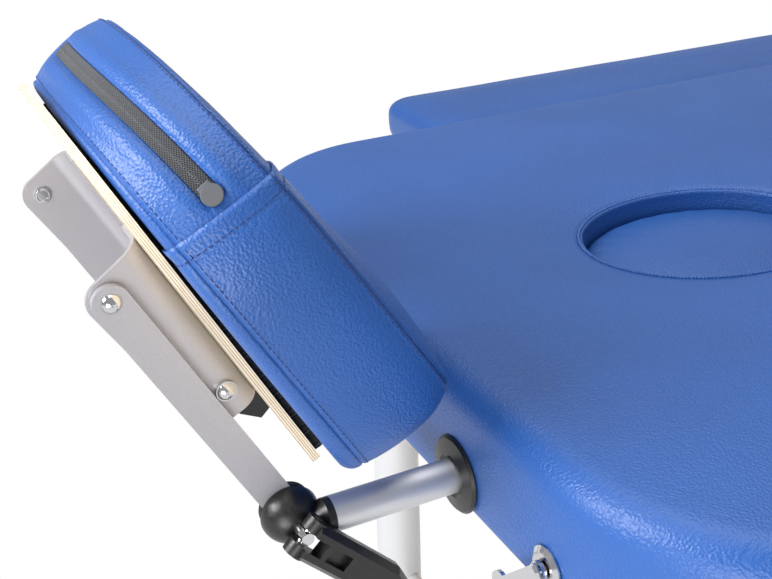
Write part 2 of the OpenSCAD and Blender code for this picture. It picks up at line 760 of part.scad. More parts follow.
module face_opening(grow) {
    translate([face_x, 0]) polygon(ellipse_points(face_len / 2 + grow, face_w / 2 + grow, hole_steps));
}
module headrest_board() {
    color("burlywood") at_headrest() translate([0, 0, board_seat]) linear_extrude(board_t) difference() {
        polygon(board_outline(0));
        face_opening(-board_hole_inset);
    }
}
tape_t = 3;
tape_inset = 3;
module hook_and_loop() {
    color("dimgray") at_headrest() translate([0, 0, board_seat + board_t]) linear_extrude(tape_t) difference() {
        polygon(board_outline(tape_inset));
        face_opening(0);
        translate([face_x, -limb_gap / 2]) square([board_len, limb_gap]);
    }
}

// Cushion: one horseshoe sweep from limb end to limb end round the face opening
cushion_z = board_seat + board_t + tape_t;
limb_end_r = 16;
sweep_steps = 36;
end_turns = [80, 55, 28];
// Across from the outer wall to the inner wall, and up, as shares of the limb's width and height
limb_shares = [[0.07, 0], [0.005, 0.12], [-0.03, 0.42], [-0.01, 0.7], [0.09, 0.9], [0.33, 1], [0.62, 1],
    [0.88, 0.9], [0.99, 0.7], [1.02, 0.42], [1, 0.12], [0.94, 0]];
function outer_turn(y) = asin(pow(y / (cushion_w / 2), limb_power / 2));
function inner_turn(y) = asin(y / (face_w / 2));
limb_y = limb_gap / 2 + limb_end_r;
// Outer and inner plan points at share s of the sweep, 0 and 1 being the two limb ends
function outer_at(s) = let (t0 = outer_turn(limb_y), t = t0 + s * (360 - 2 * t0), head = cos(t) < 0)
    power_point(head ? head_part : limb_part, cushion_w / 2, t, head ? head_power : limb_power);
function inner_at(s) = let (t0 = inner_turn(limb_y), t = t0 + s * (360 - 2 * t0))
    [face_x - cushion_x + face_len / 2 * cos(t), face_w / 2 * sin(t)];
function cushion_height(x) =
    cushion_t_far + (cushion_t_near - cushion_t_far) * (x + head_part) / cushion_len;
// One closed section of the limb at share s, drawn in by inset and moved sideways by dy
function limb_section(s, inset, dy) =
    let (o = outer_at(s), i = inner_at(s), w = norm(i - o), d = (i - o) / w)
    [for (q = limb_shares) let (across = inset + (w - 2 * inset) * q[0], p = o + d * across,
        h = cushion_height(p[0])) [cushion_x + p[0], p[1] + dy, cushion_z + inset / 2 + (h - inset) * q[1]]];
function limb_end(s, side) = [for (turn = end_turns)
    limb_section(s, limb_end_r * (1 - cos(turn)), -side * limb_end_r * sin(turn))];
function reversed(list) = [for (i = [len(list) - 1:-1:0]) list[i]];
function cushion_rings() = concat(limb_end(0, 1),
    [for (k = [0:sweep_steps]) limb_section(k / sweep_steps, 0, 0)], reversed(limb_end(1, -1)));
module headrest_cushion() { color("royalblue") at_headrest() loft(cushion_rings()); }

// Zipper: a tape on the near wall and its slider
zip_low_share = 0.4;
zip_high_share = 0.62;
zip_gap = 0.3;
zip_t = 1;
zip_steps = 14;
zip_start_share = 0.67;
zip_end_share = 0.47;
zip_fall = 0.1;
function zip_drop(s) = zip_fall * (zip_start_share - s) / (zip_start_share - zip_end_share);
function wall_at(s, up) = let (o = outer_at(s), i = inner_at(s), w = norm(i - o), d = (o - i) / w,
    belly = 0.03 * w) [o + d * belly, d, cushion_z + up * cushion_height(o[0])];
function zip_ring(s) =
    let (low = wall_at(s, zip_low_share - zip_drop(s)), high = wall_at(s, zip_high_share - zip_drop(s)))
    [for (q = [[zip_gap, low[2]], [zip_gap + zip_t, low[2]], [zip_gap + zip_t, high[2]], [zip_gap, high[2]]])
        [cushion_x + low[0][0] + low[1][0] * q[0], low[0][1] + low[1][1] * q[0], q[1]]];
module zipper_tape() {
    color("black") at_headrest() loft([for (k = [0:zip_steps])
        zip_ring(zip_start_share + (zip_end_share - zip_start_share) * k / zip_steps)]);
}
// Heading of the wall at share s, towards smaller shares
heading_step = 0.001;
function wall_heading(s) = let (p = wall_at(s, 0)[0], q = wall_at(s - heading_step, 0)[0])
    atan2(q[1] - p[1], q[0] - p[0]);
slider_len = 12;
slider_w = 9;
slider_t = 3;
tab_r = 5.5;
tab_t = 1.6;
module zipper_slider() {
    low = wall_at(zip_start_share, zip_low_share);
    high = wall_at(zip_start_share, zip_high_share);
    color("gray") at_headrest()
        translate([cushion_x + low[0][0], low[0][1], (low[2] + high[2]) / 2])
            rotate([0, 0, wall_heading(zip_start_share) + 90]) translate([2.5 * zip_gap + zip_t, 0, 0]) {
                box([0, -slider_len / 2, -slider_w / 2], [slider_t, slider_len / 2, slider_w / 2]);
                translate([slider_t, slider_len / 2, 0]) x_rod(tab_r, 0, tab_t);
            }
}

// Cam levers, drawn from the dowel outwards along x
lever_t = 10;
lever_bevel = 3.5;
lever_tip = 18;
fork_gap = 1.2 * bolt_r;
recess_len = 16;
recess_deep = 4;
module lever_plate(inset) {
    half = lever_w / 2 - inset;
    polygon([[0, -half], [lever_len - lever_tip, -half], [lever_len - inset, -half / 2],
        [lever_len - inset, half / 2], [lever_len - lever_tip, half], [0, half]]);
}
module cam_lever() {
    at_table() translate([-hub_reach, dowel_y, tube_z]) rotate([0, lever_angle, 0]) difference() {
        union() {
            cylinder(r = cam_r, h = lever_w, center = true);
            hull() {
                rotate([90, 0, 0]) linear_extrude(seat) lever_plate(0);
                translate([0, lever_t, 0]) rotate([90, 0, 0]) linear_extrude(seat) lever_plate(lever_bevel);
                translate([0, lever_t / 2, 0]) rotate([90, 0, 0]) linear_extrude(seat) lever_plate(0);
            }
        }
        cylinder(r = dowel_r + run, h = lever_w + 2 * over, center = true);
        box([-cam_r - over, -cam_r - over, -fork_gap], [cam_r + bolt_r, lever_t + over, fork_gap]);
        box([cam_r + 2 * bolt_r, lever_t - recess_deep, -fork_gap],
            [cam_r + 2 * bolt_r + recess_len, lever_t + over, fork_gap]);
    }
}
module cam_lever_far() { color("dimgray") cam_lever(); }
module cam_lever_near() { color("dimgray") far_side() cam_lever(); }

// Armrests: pad with a wrapped board, carried on two rods
armrest_gap = 6;
armrest_drop = 20;
armrest_corner = 30;
armrest_edge_r = 14;
armrest_crown = 4;
armrest_board_t = 8;
armrest_wrap = 4;
armrest_in = table_w / 2 + armrest_gap;
armrest_top = table_height - armrest_drop;
armrest_low = armrest_top - armrest_t;
function armrest_outline(inset) =
    let (r = armrest_corner - inset / 2, x0 = armrest_x + inset, x1 = armrest_x + armrest_len - inset,
        y0 = armrest_in + inset, y1 = armrest_in + armrest_w - inset)
    concat(corner_arc(x0 + r, y0 + r, r, 180), corner_arc(x1 - r, y0 + r, r, 270),
        corner_arc(x1 - r, y1 - r, r, 0), corner_arc(x0 + r, y1 - r, r, 90));
module armrest_board_plan(inset) {
    rounded_plate([armrest_x + inset, armrest_in + inset],
        [armrest_x + armrest_len - inset, armrest_in + armrest_w - inset], armrest_corner - inset);
}
module armrest_pad() {
    rings = concat([[skirt_draw, armrest_low], [0, armrest_low + armrest_t / 3]],
        edge_profile(armrest_top - armrest_crown, armrest_edge_r), [[armrest_edge_r * 3, armrest_top]]);
    at_table() difference() {
        loft([for (p = rings) ring_at(armrest_outline(p[0]), p[1])]);
        translate([0, 0, armrest_low - over]) linear_extrude(armrest_board_t + over)
            armrest_board_plan(armrest_wrap);
    }
}
module armrest_board() {
    at_table() translate([0, 0, armrest_low]) linear_extrude(armrest_board_t)
        armrest_board_plan(armrest_wrap + seat);
}
clip_w = 12;
clip_len = 24;
module armrest_rods() {
    rod_out = armrest_in + armrest_w - armrest_corner;
    at_table() for (x = rod_places) translate([x, 0, 0]) {
        translate([0, 0, tube_z]) y_rod(rod_r, rod_end, rod_out);
        for (y = [armrest_in + armrest_corner, rod_out - 2 * clip_len]) difference() {
            box([-clip_w / 2, y, tube_z], [clip_w / 2, y + clip_len, armrest_low]);
            translate([0, 0, tube_z]) y_rod(rod_r, y - over, y + clip_len + over);
        }
    }
}
module armrest_pad_far() { color("royalblue") armrest_pad(); }
module armrest_pad_near() { color("royalblue") far_side() armrest_pad(); }
module armrest_board_far() { color("burlywood") armrest_board(); }
module armrest_board_near() { color("burlywood") far_side() armrest_board(); }
module armrest_rods_far() { color("silver") armrest_rods(); }
module armrest_rods_near() { color("silver") far_side() armrest_rods(); }

// The part is centred on its length, from the board's outer edge to the latch studs
head_reach = hub_reach + (board_start + board_len) * cos(head_angle) - board_seat * sin(head_angle);
x_mid = (table_len + stud_reach - head_reach) / 2;

head_pad();
head_deck();
head_side_rails();
head_end_rail();
head_hinge_rail();
headrest_sockets();
headrest_grommets();
head_leg_brackets();
head_hinge_leaves();
latch_rosettes();
armrest_sockets();
armrest_grommets();
face_plug_cushion();
face_plug_board();
foot_pad();
foot_deck();
foot_side_rails();
foot_end_rail();
foot_hinge_rail();
foot_leg_brackets();
foot_hinge_leaves();
latch_studs();
head_leg_tubes();
head_leg_crossbar();
foot_leg_tubes();
foot_leg_crossbar();
lower_leg_head_near();
lower_leg_head_far();
lower_leg_foot_near();
lower_leg_foot_far();
rubber_foot_head_near();
rubber_foot_head_far();
rubber_foot_foot_near();
rubber_foot_foot_far();
collar_head_near();
collar_head_far();
collar_foot_near();
collar_foot_far();
headrest_tubes();
headrest_hubs();
clamp_bolts();
headrest_arms();
clamp_washers();
platform_brackets();
platform_rivets();
headrest_board();
hook_and_loop();
headrest_cushion();
zipper_tape();
zipper_slider();
cam_lever_near();
cam_lever_far();
armrest_pad_near();
armrest_pad_far();
armrest_board_near();
armrest_board_far();
armrest_rods_near();
armrest_rods_far();
latch_hook_near();
latch_hook_far();
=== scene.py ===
"""Looks of a folding massage table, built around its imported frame."""
import logging
import math
from dataclasses import dataclass
from enum import Enum

import bmesh
import bpy
import numpy as np
from mathutils import Matrix, Quaternion, Vector


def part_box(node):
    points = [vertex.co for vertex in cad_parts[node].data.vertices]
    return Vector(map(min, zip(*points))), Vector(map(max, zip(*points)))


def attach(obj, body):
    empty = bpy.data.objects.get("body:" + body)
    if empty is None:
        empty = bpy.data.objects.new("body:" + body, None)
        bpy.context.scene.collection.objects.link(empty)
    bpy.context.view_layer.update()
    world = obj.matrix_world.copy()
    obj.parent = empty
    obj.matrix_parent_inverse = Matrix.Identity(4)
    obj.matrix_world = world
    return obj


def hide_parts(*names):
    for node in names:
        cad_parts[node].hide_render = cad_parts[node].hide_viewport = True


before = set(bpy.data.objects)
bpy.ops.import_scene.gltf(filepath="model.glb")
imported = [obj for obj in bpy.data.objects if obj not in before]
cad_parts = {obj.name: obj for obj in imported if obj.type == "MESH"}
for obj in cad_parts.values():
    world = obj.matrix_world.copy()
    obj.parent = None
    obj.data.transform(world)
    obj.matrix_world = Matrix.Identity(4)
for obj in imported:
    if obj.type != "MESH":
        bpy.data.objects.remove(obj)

logging.basicConfig(level=logging.INFO, format="%(message)s")
log = logging.getLogger("massage_table")

MM = 0.001
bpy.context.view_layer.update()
# The table's own rulers start at the head end, on the middle line and on the floor
HEAD_END_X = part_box("head_pad")[0].x


def table_point(x: float, y: float, z: float) -> Vector:
    """Place a point given in table millimetres.

    Args:
        x: distance from the head end towards the foot end.
        y: distance from the middle line, away from the camera.
        z: height over the floor.

    Returns:
        The point in the row frame, in metres.
    """
    return Vector((HEAD_END_X + x * MM, y * MM, z * MM))


def table_points(rows: np.ndarray) -> np.ndarray:
    """Turn rows of table millimetres into row-frame metres."""
    out = rows * MM
    out[:, 0] += HEAD_END_X
    return out


@dataclass(frozen=True)
class HeadrestFrame:
    """Ruler of the tilted headrest: x runs to the hubs, z towards the cushion."""

    hub_x: float = -105.0
    hub_z: float = 631.0
    tilt_deg: float = 62.0

    def point(self, x: float, y: float, z: float) -> Vector:
        """Turn headrest millimetres into a point of the row frame."""
        c, s = math.cos(math.radians(self.tilt_deg)), math.sin(math.radians(self.tilt_deg))
        return table_point(self.hub_x + x * c + z * s, y, self.hub_z - x * s + z * c)

    def points(self, rows: np.ndarray) -> np.ndarray:
        """Turn an array of headrest millimetres into row-frame metres."""
        c, s = math.cos(math.radians(self.tilt_deg)), math.sin(math.radians(self.tilt_deg))
        x, y, z = rows[..., 0], rows[..., 1], rows[..., 2]
        return np.stack([HEAD_END_X + (self.hub_x + x * c + z * s) * MM, y * MM,
                         (self.hub_z - x * s + z * c) * MM], axis=-1)


HEADREST = HeadrestFrame()


class Body(Enum):
    """Moving groups of the table that pieces ride on."""

    HEAD = "head_section"
    FOOT = "foot_section"
    PLUG = "face_plug"
    PLATFORM = "headrest_platform"
    SLIDER = "zipper_slider"


# Materials


def srgb(code: str) -> tuple[float, float, float, float]:
    """Turn an sRGB hex colour into Blender's linear colour.

    Args:
        code: six hex digits.

    Returns:
        Linear red, green, blue and an alpha of 1.
    """
    parts = [int(code[i:i + 2], 16) / 255 for i in (0, 2, 4)]
    linear = [p / 12.92 if p <= 0.04045 else ((p + 0.055) / 1.055) ** 2.4 for p in parts]
    return (linear[0], linear[1], linear[2], 1.0)


def add_node(owner: bpy.types.Material | bpy.types.World, kind: str, inputs: dict | None = None,
             **settings) -> bpy.types.Node:
    """Add one shader node with its settings and links.

    Args:
        owner: the material or world that gets the node.
        kind: Blender's node type name without its ShaderNode prefix.
        inputs: values or output sockets by the input's name or number.
        **settings: attributes of the node.

    Returns:
        The new node.
    """
    tree = owner.node_tree
    node = tree.nodes.new("ShaderNode" + kind)
    for name, value in settings.items():
        setattr(node, name, value)
    for name, value in (inputs or {}).items():
        if isinstance(value, bpy.types.NodeSocket):
            tree.links.new(value, node.inputs[name])
        else:
            node.inputs[name].default_value = value
    return node


def noise(owner: bpy.types.Material, coords: bpy.types.NodeSocket, scale: float, detail: float,
          **more: float) -> bpy.types.NodeSocket:
    """Factor of a noise texture over some coordinates."""
    inputs = {"Vector": coords, "Scale": scale, "Detail": detail, **more}
    return add_node(owner, "TexNoise", inputs).outputs["Fac"]


def calc(owner: bpy.types.Material | bpy.types.World, operation: str, *values) -> bpy.types.NodeSocket:
    """Result of one math node for up to three values or sockets."""
    return add_node(owner, "Math", dict(enumerate(values)), operation=operation).outputs[0]


def span(owner: bpy.types.Material | bpy.types.World, value: bpy.types.NodeSocket, ends: tuple[float, float],
         target: tuple[float, float] = (0.0, 1.0)) -> bpy.types.NodeSocket:
    """Map the span between two ends onto a target span."""
    inputs = {"Value": value, "From Min": ends[0], "From Max": ends[1],
              "To Min": target[0], "To Max": target[1]}
    return add_node(owner, "MapRange", inputs).outputs["Result"]


def relief(owner: bpy.types.Material, height: bpy.types.NodeSocket, strength: float,
           depth_mm: float) -> bpy.types.NodeSocket:
    """Normals of a bump with its depth in millimetres."""
    inputs = {"Height": height, "Strength": strength, "Distance": depth_mm * MM}
    return add_node(owner, "Bump", inputs).outputs["Normal"]


def feed(material: bpy.types.Material, shader: bpy.types.Node, **sources) -> bpy.types.Material:
    """Link sockets to the shader's inputs, underscores standing for spaces, and return the material."""
    for name, source in sources.items():
        material.node_tree.links.new(source, shader.inputs[name.replace("_", " ")])
    return material


def ramp(material: bpy.types.Material, factor: bpy.types.NodeSocket,
         stops: list[tuple[float, tuple[float, float, float, float]]]) -> bpy.types.NodeSocket:
    """Spread colours over a factor.

    Args:
        material: the material that gets the ramp.
        factor: what drives it.
        stops: position and linear colour of each stop.

    Returns:
        The ramp's colour output.
    """
    node = add_node(material, "ValToRGB", {"Fac": factor})
    elements = node.color_ramp.elements
    while len(elements) < len(stops):
        elements.new(0.5)
    for element, (position, colour) in zip(elements, stops):
        element.position = position
        element.color = colour
    return node.outputs["Color"]


def grey(value: float) -> tuple[float, float, float, float]:
    """A linear grey."""
    return (value, value, value, 1.0)


def shade(code: str, factor: float) -> tuple[float, float, float, float]:
    """A hex colour made lighter or darker by a factor."""
    r, g, b, a = srgb(code)
    return (min(r * factor, 1.0), min(g * factor, 1.0), min(b * factor, 1.0), a)


def principled(name: str, **sockets) -> tuple[bpy.types.Material, bpy.types.Node]:
    """Start a material with one principled shader.

    Args:
        name: the material's name.
        **sockets: plain values of the shader, underscores standing for spaces.

    Returns:
        The material and its shader node.
    """
    material = bpy.data.materials.new(name)
    material.use_nodes = True
    shader = material.node_tree.nodes["Principled BSDF"]
    for key, value in sockets.items():
        shader.inputs[key.replace("_", " ")].default_value = value
    return material, shader


@dataclass(frozen=True)
class CoatedLeather:
    """Polyurethane-coated leatherette: embossed pebbles under a satin coat."""

    name: str = "coated_leatherette"
    colour: str = "25569F"
    pebble_mm: float = 1.6
    bump_mm: float = 0.36
    roughness: float = 0.35

    def build(self) -> bpy.types.Material:
        """Make the material; the embossing breaks the highlights into small pebbles."""
        mat, shader = principled(self.name, Specular_IOR_Level=0.5, Coat_Weight=0.05, Coat_Roughness=0.3)
        coords = add_node(mat, "TexCoord").outputs["Object"]
        pebble = self.pebble_mm * MM
        warp = add_node(mat, "TexNoise", {"Vector": coords, "Scale": 0.35 / pebble, "Detail": 1.0})
        bent = add_node(mat, "VectorMath", {0: warp.outputs["Color"], 1: (0.5, 0.5, 0.5)},
                        operation="SUBTRACT")
        small = add_node(mat, "VectorMath", {0: bent.outputs[0], "Scale": 0.8 * self.pebble_mm * MM},
                         operation="SCALE")
        moved = add_node(mat, "VectorMath", {0: coords, 1: small.outputs[0]}, operation="ADD")
        cells = add_node(mat, "TexVoronoi", {"Vector": moved.outputs[0], "Scale": 1 / pebble,
                                             "Smoothness": 0.5}, feature="SMOOTH_F1").outputs["Distance"]
        creases = calc(mat, "MULTIPLY", noise(mat, coords, 380.0, 3.0, Roughness=0.55), 0.3)
        height = calc(mat, "MULTIPLY_ADD", cells, -1.2, creases)
        tone = noise(mat, coords, 9.0, 3.0)
        colour = ramp(mat, tone, [(0.3, shade(self.colour, 0.93)), (0.7, shade(self.colour, 1.06))])
        rough = span(mat, cells, (0.0, 0.7), (self.roughness - 0.05, self.roughness + 0.1))
        normal = relief(mat, height, 0.9, self.bump_mm)
        return feed(mat, shader, Base_Color=colour, Roughness=rough, Normal=normal)


@dataclass(frozen=True)
class SpeckledMetal:
    """A metal or lacquer with a fine grit, such as blasted aluminium or silver powder coat."""

    name: str
    colour: str
    metallic: float
    roughness: float
    grit_mm: float
    bump_mm: float
    speckle: float = 0.06
    coat: float = 0.0

    def build(self) -> bpy.types.Material:
        """Make the material; the grit blurs reflections and gives a faint sparkle."""
        mat, shader = principled(self.name, Metallic=self.metallic, Coat_Weight=self.coat,
                                 Coat_Roughness=0.25)
        coords = add_node(mat, "TexCoord").outputs["Object"]
        grit = noise(mat, coords, 1 / (self.grit_mm * MM), 2.0, Roughness=0.7)
        colour = ramp(mat, grit, [(0.3, shade(self.colour, 1 - self.speckle)),
                                  (0.7, shade(self.colour, 1 + self.speckle))])
        wide = noise(mat, coords, 25.0, 3.0)
        rough = span(mat, wide, (0.3, 0.7), (self.roughness - 0.04, self.roughness + 0.05))
        normal = relief(mat, grit, 0.5, self.bump_mm)
        return feed(mat, shader, Base_Color=colour, Roughness=rough, Normal=normal)


@dataclass(frozen=True)
class MouldedPolymer:
    """Glass-filled nylon or rubber from a mould, with scuffs that lighten it in streaks."""

    name: str
    colour: str
    roughness: float
    texture_mm: float = 0.5
    scuffs: float = 1.0

    def build(self) -> bpy.types.Material:
        """Make the material; scuffs and a mould texture break up a dark surface."""
        mat, shader = principled(self.name, Specular_IOR_Level=0.5)
        coords = add_node(mat, "TexCoord").outputs["Object"]
        fine = noise(mat, coords, 1 / (self.texture_mm * MM), 3.0)
        streak = noise(mat, coords, 140.0, 5.0, Distortion=1.2, Roughness=0.7)
        light = shade(self.colour, 1 + 1.6 * self.scuffs)
        colour = ramp(mat, streak, [(0.52, srgb(self.colour)), (0.8, light)])
        rough = span(mat, streak, (0.35, 0.7), (self.roughness - 0.06, self.roughness + 0.12))
        return feed(mat, shader, Base_Color=colour, Roughness=rough, Normal=relief(mat, fine, 0.35, 0.06))


@dataclass(frozen=True)
class Plywood:
    """Birch plywood under clear lacquer: pale grain on its faces, dark glue lines on its edges."""

    name: str
    face: str = "D9BE94"
    glue: str = "8A6440"
    ply_mm: float = 1.25
    base_z: float = 0.0
    tilt_deg: float = 0.0

    def build(self) -> bpy.types.Material:
        """Make the material; the layers show on every cut edge, level with the board."""
        mat, shader = principled(self.name, Specular_IOR_Level=0.4, Coat_Weight=0.15, Coat_Roughness=0.3,
                                 Roughness=0.42)
        coords = add_node(mat, "TexCoord").outputs["Object"]
        origin = HEADREST.point(0, 0, 0) if self.tilt_deg else Vector((0.0, 0.0, self.base_z))
        centred = add_node(mat, "VectorMath", {0: coords, 1: tuple(origin)}, operation="SUBTRACT")
        turned = add_node(mat, "Mapping", {"Vector": centred.outputs[0],
                                           "Rotation": (0.0, -math.radians(self.tilt_deg), 0.0)}).outputs[0]
        split = add_node(mat, "SeparateXYZ", {0: turned})
        phase = calc(mat, "FRACT", calc(mat, "DIVIDE", split.outputs["Z"], self.ply_mm * MM))
        stretched = add_node(mat, "Mapping", {"Vector": turned, "Scale": (4.0, 60.0, 300.0)}).outputs[0]
        grain = noise(mat, stretched, 3.0, 6.0, Distortion=0.6)
        faces = ramp(mat, grain, [(0.35, shade(self.face, 0.86)), (0.65, shade(self.face, 1.06))])
        line = span(mat, phase, (0.72, 0.9))
        glued = add_node(mat, "Mix", {"Factor": line, "A": faces, "B": srgb(self.glue)}, data_type="RGBA")
        return feed(mat, shader, Base_Color=glued.outputs["Result"], Normal=relief(mat, grain, 0.3, 0.1))


@dataclass(frozen=True)
class FuzzyFabric:
    """A dark pile or woven tape without gloss, with painted highlights on single threads."""

    name: str
    colour: str
    thread_mm: float

    def build(self) -> bpy.types.Material:
        """Make the material; single threads are painted lighter over a black ground, as painted highlights.
        """
        mat, shader = principled(self.name, Roughness=0.95, Sheen_Weight=0.3, Specular_IOR_Level=0.15)
        coords = add_node(mat, "TexCoord").outputs["Object"]
        thread = noise(mat, coords, 1 / (self.thread_mm * MM), 4.0, Roughness=0.8)
        # painted highlight: threads picked by the noise are up to five times lighter than the ground
        colour = ramp(mat, thread, [(0.45, srgb(self.colour)), (0.75, shade(self.colour, 5.0))])
        return feed(mat, shader, Base_Color=colour, Normal=relief(mat, thread, 0.8, 0.4))


@dataclass(frozen=True)
class ZipTape:
    """Woven polyester zipper tape: fine ribs along and across the piece's own map."""

    name: str = "woven_zip_tape"
    colour: str = "393B3F"
    thread_mm: float = 1.9

    def build(self) -> bpy.types.Material:
        """Make the material; the weave gives a grey chequer of small knots, painted lighter on top as painted
        highlight and darker between them as painted shade.
        """
        mat, shader = principled(self.name, Roughness=0.7, Sheen_Weight=0.2, Specular_IOR_Level=0.3)
        split = add_node(mat, "SeparateXYZ", {0: add_node(mat, "UVMap").outputs["UV"]})
        scale = 2 * math.pi / (self.thread_mm * MM)
        ribs = [calc(mat, "SINE", calc(mat, "MULTIPLY", split.outputs[axis], scale * factor))
                for axis, factor in (("X", 1.0), ("Y", 1.25))]
        height = span(mat, calc(mat, "MULTIPLY", *ribs), (-1.0, 1.0))
        # painted shade in the weave's hollows and painted highlight on its knots, both taken from the weave's
        # height
        colour = ramp(mat, height, [(0.36, shade(self.colour, 0.15)), (0.72, shade(self.colour, 1.9))])
        return feed(mat, shader, Base_Color=colour, Normal=relief(mat, height, 0.8, 0.3))


class Finishes:
    """Every finish of the table, made once."""

    def __init__(self) -> None:
        """Build the materials."""
        metal, polymer, plate = SpeckledMetal, MouldedPolymer, Plywood
        self.leather = CoatedLeather().build()
        self.silver_coat = metal("silver_powder_coat", "B0AEB3", 0.5, 0.42, 0.5, 0.05, 0.10).build()
        self.aluminium = metal("anodised_aluminium", "D9DADD", 1.0, 0.5, 0.35, 0.02, 0.04).build()
        self.leg_paint = metal("satin_white_powder_coat", "C6C7CA", 0.1, 0.34, 0.7, 0.03, 0.02, 0.3).build()
        self.zinc = metal("zinc_plated_steel", "A9A8A6", 1.0, 0.3, 1.2, 0.02, 0.08).build()
        self.chrome = metal("bright_nickel_plate", "CFCFD2", 1.0, 0.12, 2.0, 0.01, 0.02).build()
        self.nylon = polymer("black_glass_filled_nylon", "171718", 0.34).build()
        self.rubber = polymer("black_rubber", "161616", 0.72, 0.8, 0.4).build()
        self.deck_ply = plate("deck_plywood", base_z=0.650).build()
        self.plug_ply = plate("plug_plywood", base_z=0.6553).build()
        self.rest_ply = plate("headrest_plywood", face="F0E0C4", tilt_deg=HEADREST.tilt_deg).build()
        self.arm_ply = plate("armrest_plywood", base_z=0.640, ply_mm=1.6).build()
        self.pile = FuzzyFabric("hook_and_loop_pile", "0B0B0C", 0.35).build()
        self.tape = ZipTape().build()
        self.thread = FuzzyFabric("blue_sewing_thread", "16295C", 0.3).build()
        self.coil = polymer("nylon_zip_coil", "3E4043", 0.45, 0.4, 0.6).build()
        self.tab = metal("die_cast_zinc_tab", "5F6166", 0.25, 0.55, 0.8, 0.05, 0.08).build()
        self.floor = self._floor()

    @staticmethod
    def _floor() -> bpy.types.Material:
        """Pale studio floor, plain white to the camera and in glossy reflections."""
        mat, shader = principled("pale_studio_floor", Base_Color=grey(0.85), Roughness=0.9)
        glow = add_node(mat, "Emission", {"Color": grey(1.0), "Strength": 1.0})
        path = add_node(mat, "LightPath").outputs
        seen = calc(mat, "MAXIMUM", path["Is Camera Ray"], path["Is Glossy Ray"])
        both = add_node(mat, "MixShader", {"Fac": seen, 1: shader.outputs[0], 2: glow.outputs[0]})
        mat.node_tree.links.new(both.outputs[0], mat.node_tree.nodes["Material Output"].inputs["Surface"])
        return mat


# Making and finishing meshes


def deselect() -> None:
    """Leave edit mode and select nothing."""
    if bpy.context.object and bpy.context.object.mode != "OBJECT":
        bpy.ops.object.mode_set(mode="OBJECT")
    bpy.ops.object.select_all(action="DESELECT")


def activate(obj: bpy.types.Object) -> None:
    """Make a piece the only selected and active one."""
    deselect()
    obj.select_set(True)
    bpy.context.view_layer.objects.active = obj


def mesh_piece(name: str, points: list, faces: list, smooth: bool = True) -> bpy.types.Object:
    """Make a piece from points and faces.

    Args:
        name: the piece's name.
        points: corners in the row frame, in metres.
        faces: corner numbers of each face.
        smooth: whether the faces shade as one curved surface.

    Returns:
        The new object.
    """
    mesh = bpy.data.meshes.new(name)
    mesh.from_pydata([tuple(p) for p in points], [], faces)
    mesh.validate()
    mesh.update()
    obj = bpy.data.objects.new(name, mesh)
    bpy.context.scene.collection.objects.link(obj)
    if smooth:
        mesh.polygons.foreach_set("use_smooth", [True] * len(mesh.polygons))
    return obj


def outward(obj: bpy.types.Object) -> None:
    """Merge doubles and point all faces outwards."""
    bm = bmesh.new()
    bm.from_mesh(obj.data)
    bmesh.ops.remove_doubles(bm, verts=bm.verts, dist=1e-6)
    bmesh.ops.recalc_face_normals(bm, faces=bm.faces)
    bm.to_mesh(obj.data)
    bm.free()


def apply_modifier(obj: bpy.types.Object, kind: str, **settings) -> None:
    """Add a modifier with its settings and apply it.

    Args:
        obj: the piece.
        kind: Blender's modifier type.
        **settings: the modifier's attributes.
    """
    activate(obj)
    modifier = obj.modifiers.new(kind.lower(), kind)
    for key, value in settings.items():
        setattr(modifier, key, value)
    bpy.ops.object.modifier_apply(modifier=modifier.name)


def finish_piece(obj: bpy.types.Object, material: bpy.types.Material, body: str,
                 replaces: tuple[str, ...] = ()) -> bpy.types.Object:
    """Give a piece its material, body, slot and the nodes that it stands for.

    Args:
        obj: the piece.
        material: its finish.
        body: the moving group that carries it.
        replaces: nodes of the frame that are hidden behind it.

    Returns:
        The same piece.
    """
    if not obj.data.materials:
        obj.data.materials.append(material)
    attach(obj, body)
    if replaces:
        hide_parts(*replaces)
    log.info("%s: %d faces on %s", obj.name, len(obj.data.polygons), body)
    return obj


def ring_faces(rings: int, around: int, closed: bool = False) -> list[tuple[int, ...]]:
    """Join rings of equally many points into quads.

    Args:
        rings: number of rings.
        around: points in each ring.
        closed: whether the last ring joins the first.

    Returns:
        Corner numbers of the quads.
    """
    faces = []
    for k in range(rings if closed else rings - 1):
        a, b = k * around, ((k + 1) % rings) * around
        for i in range(around):
            j = (i + 1) % around
            faces.append((a + i, a + j, b + j, b + i))
    return faces


def capped_faces(rings: int, around: int) -> list[tuple[int, ...]]:
    """Quads between rings, with the first and the last ring filled."""
    last = (rings - 1) * around
    caps = [tuple(range(around - 1, -1, -1)), tuple(last + i for i in range(around))]
    return ring_faces(rings, around) + caps


def cover(name: str, rings: list[np.ndarray], leather: bpy.types.Material, body: str, node: str,
          through: bool = False) -> bpy.types.Object:
    """Make a padded cover from the rings of its skin, in table millimetres.

    Args:
        name: the piece's name.
        rings: rings of equally many points.
        leather: its finish.
        body: the moving group that carries it.
        node: the frame's node that it stands for.
        through: whether the last ring joins the first round a hole.

    Returns:
        The cover's object.
    """
    around = len(rings[0])
    faces = ring_faces(len(rings), around, closed=True) if through else capped_faces(len(rings), around)
    obj = mesh_piece(name, table_points(np.vstack(rings)), faces)
    outward(obj)
    return finish_piece(obj, leather, body, (node,))


def corner_arc(cx: float, cy: float, radius: float, start: float, count: int) -> list[tuple[float, float]]:
    """Points of a quarter turn round a centre, from a start angle in degrees."""
    turns = [math.radians(start + 90 * i / (count - 1)) for i in range(count)]
    return [(cx + radius * math.cos(a), cy + radius * math.sin(a)) for a in turns]


def run_between(p: tuple[float, float], q: tuple[float, float], count: int) -> list[tuple[float, float]]:
    """Points between two ends of a straight run, without the ends."""
    shares = [i / (count + 1) for i in range(1, count + 1)]
    return [(p[0] + (q[0] - p[0]) * t, p[1] + (q[1] - p[1]) * t) for t in shares]


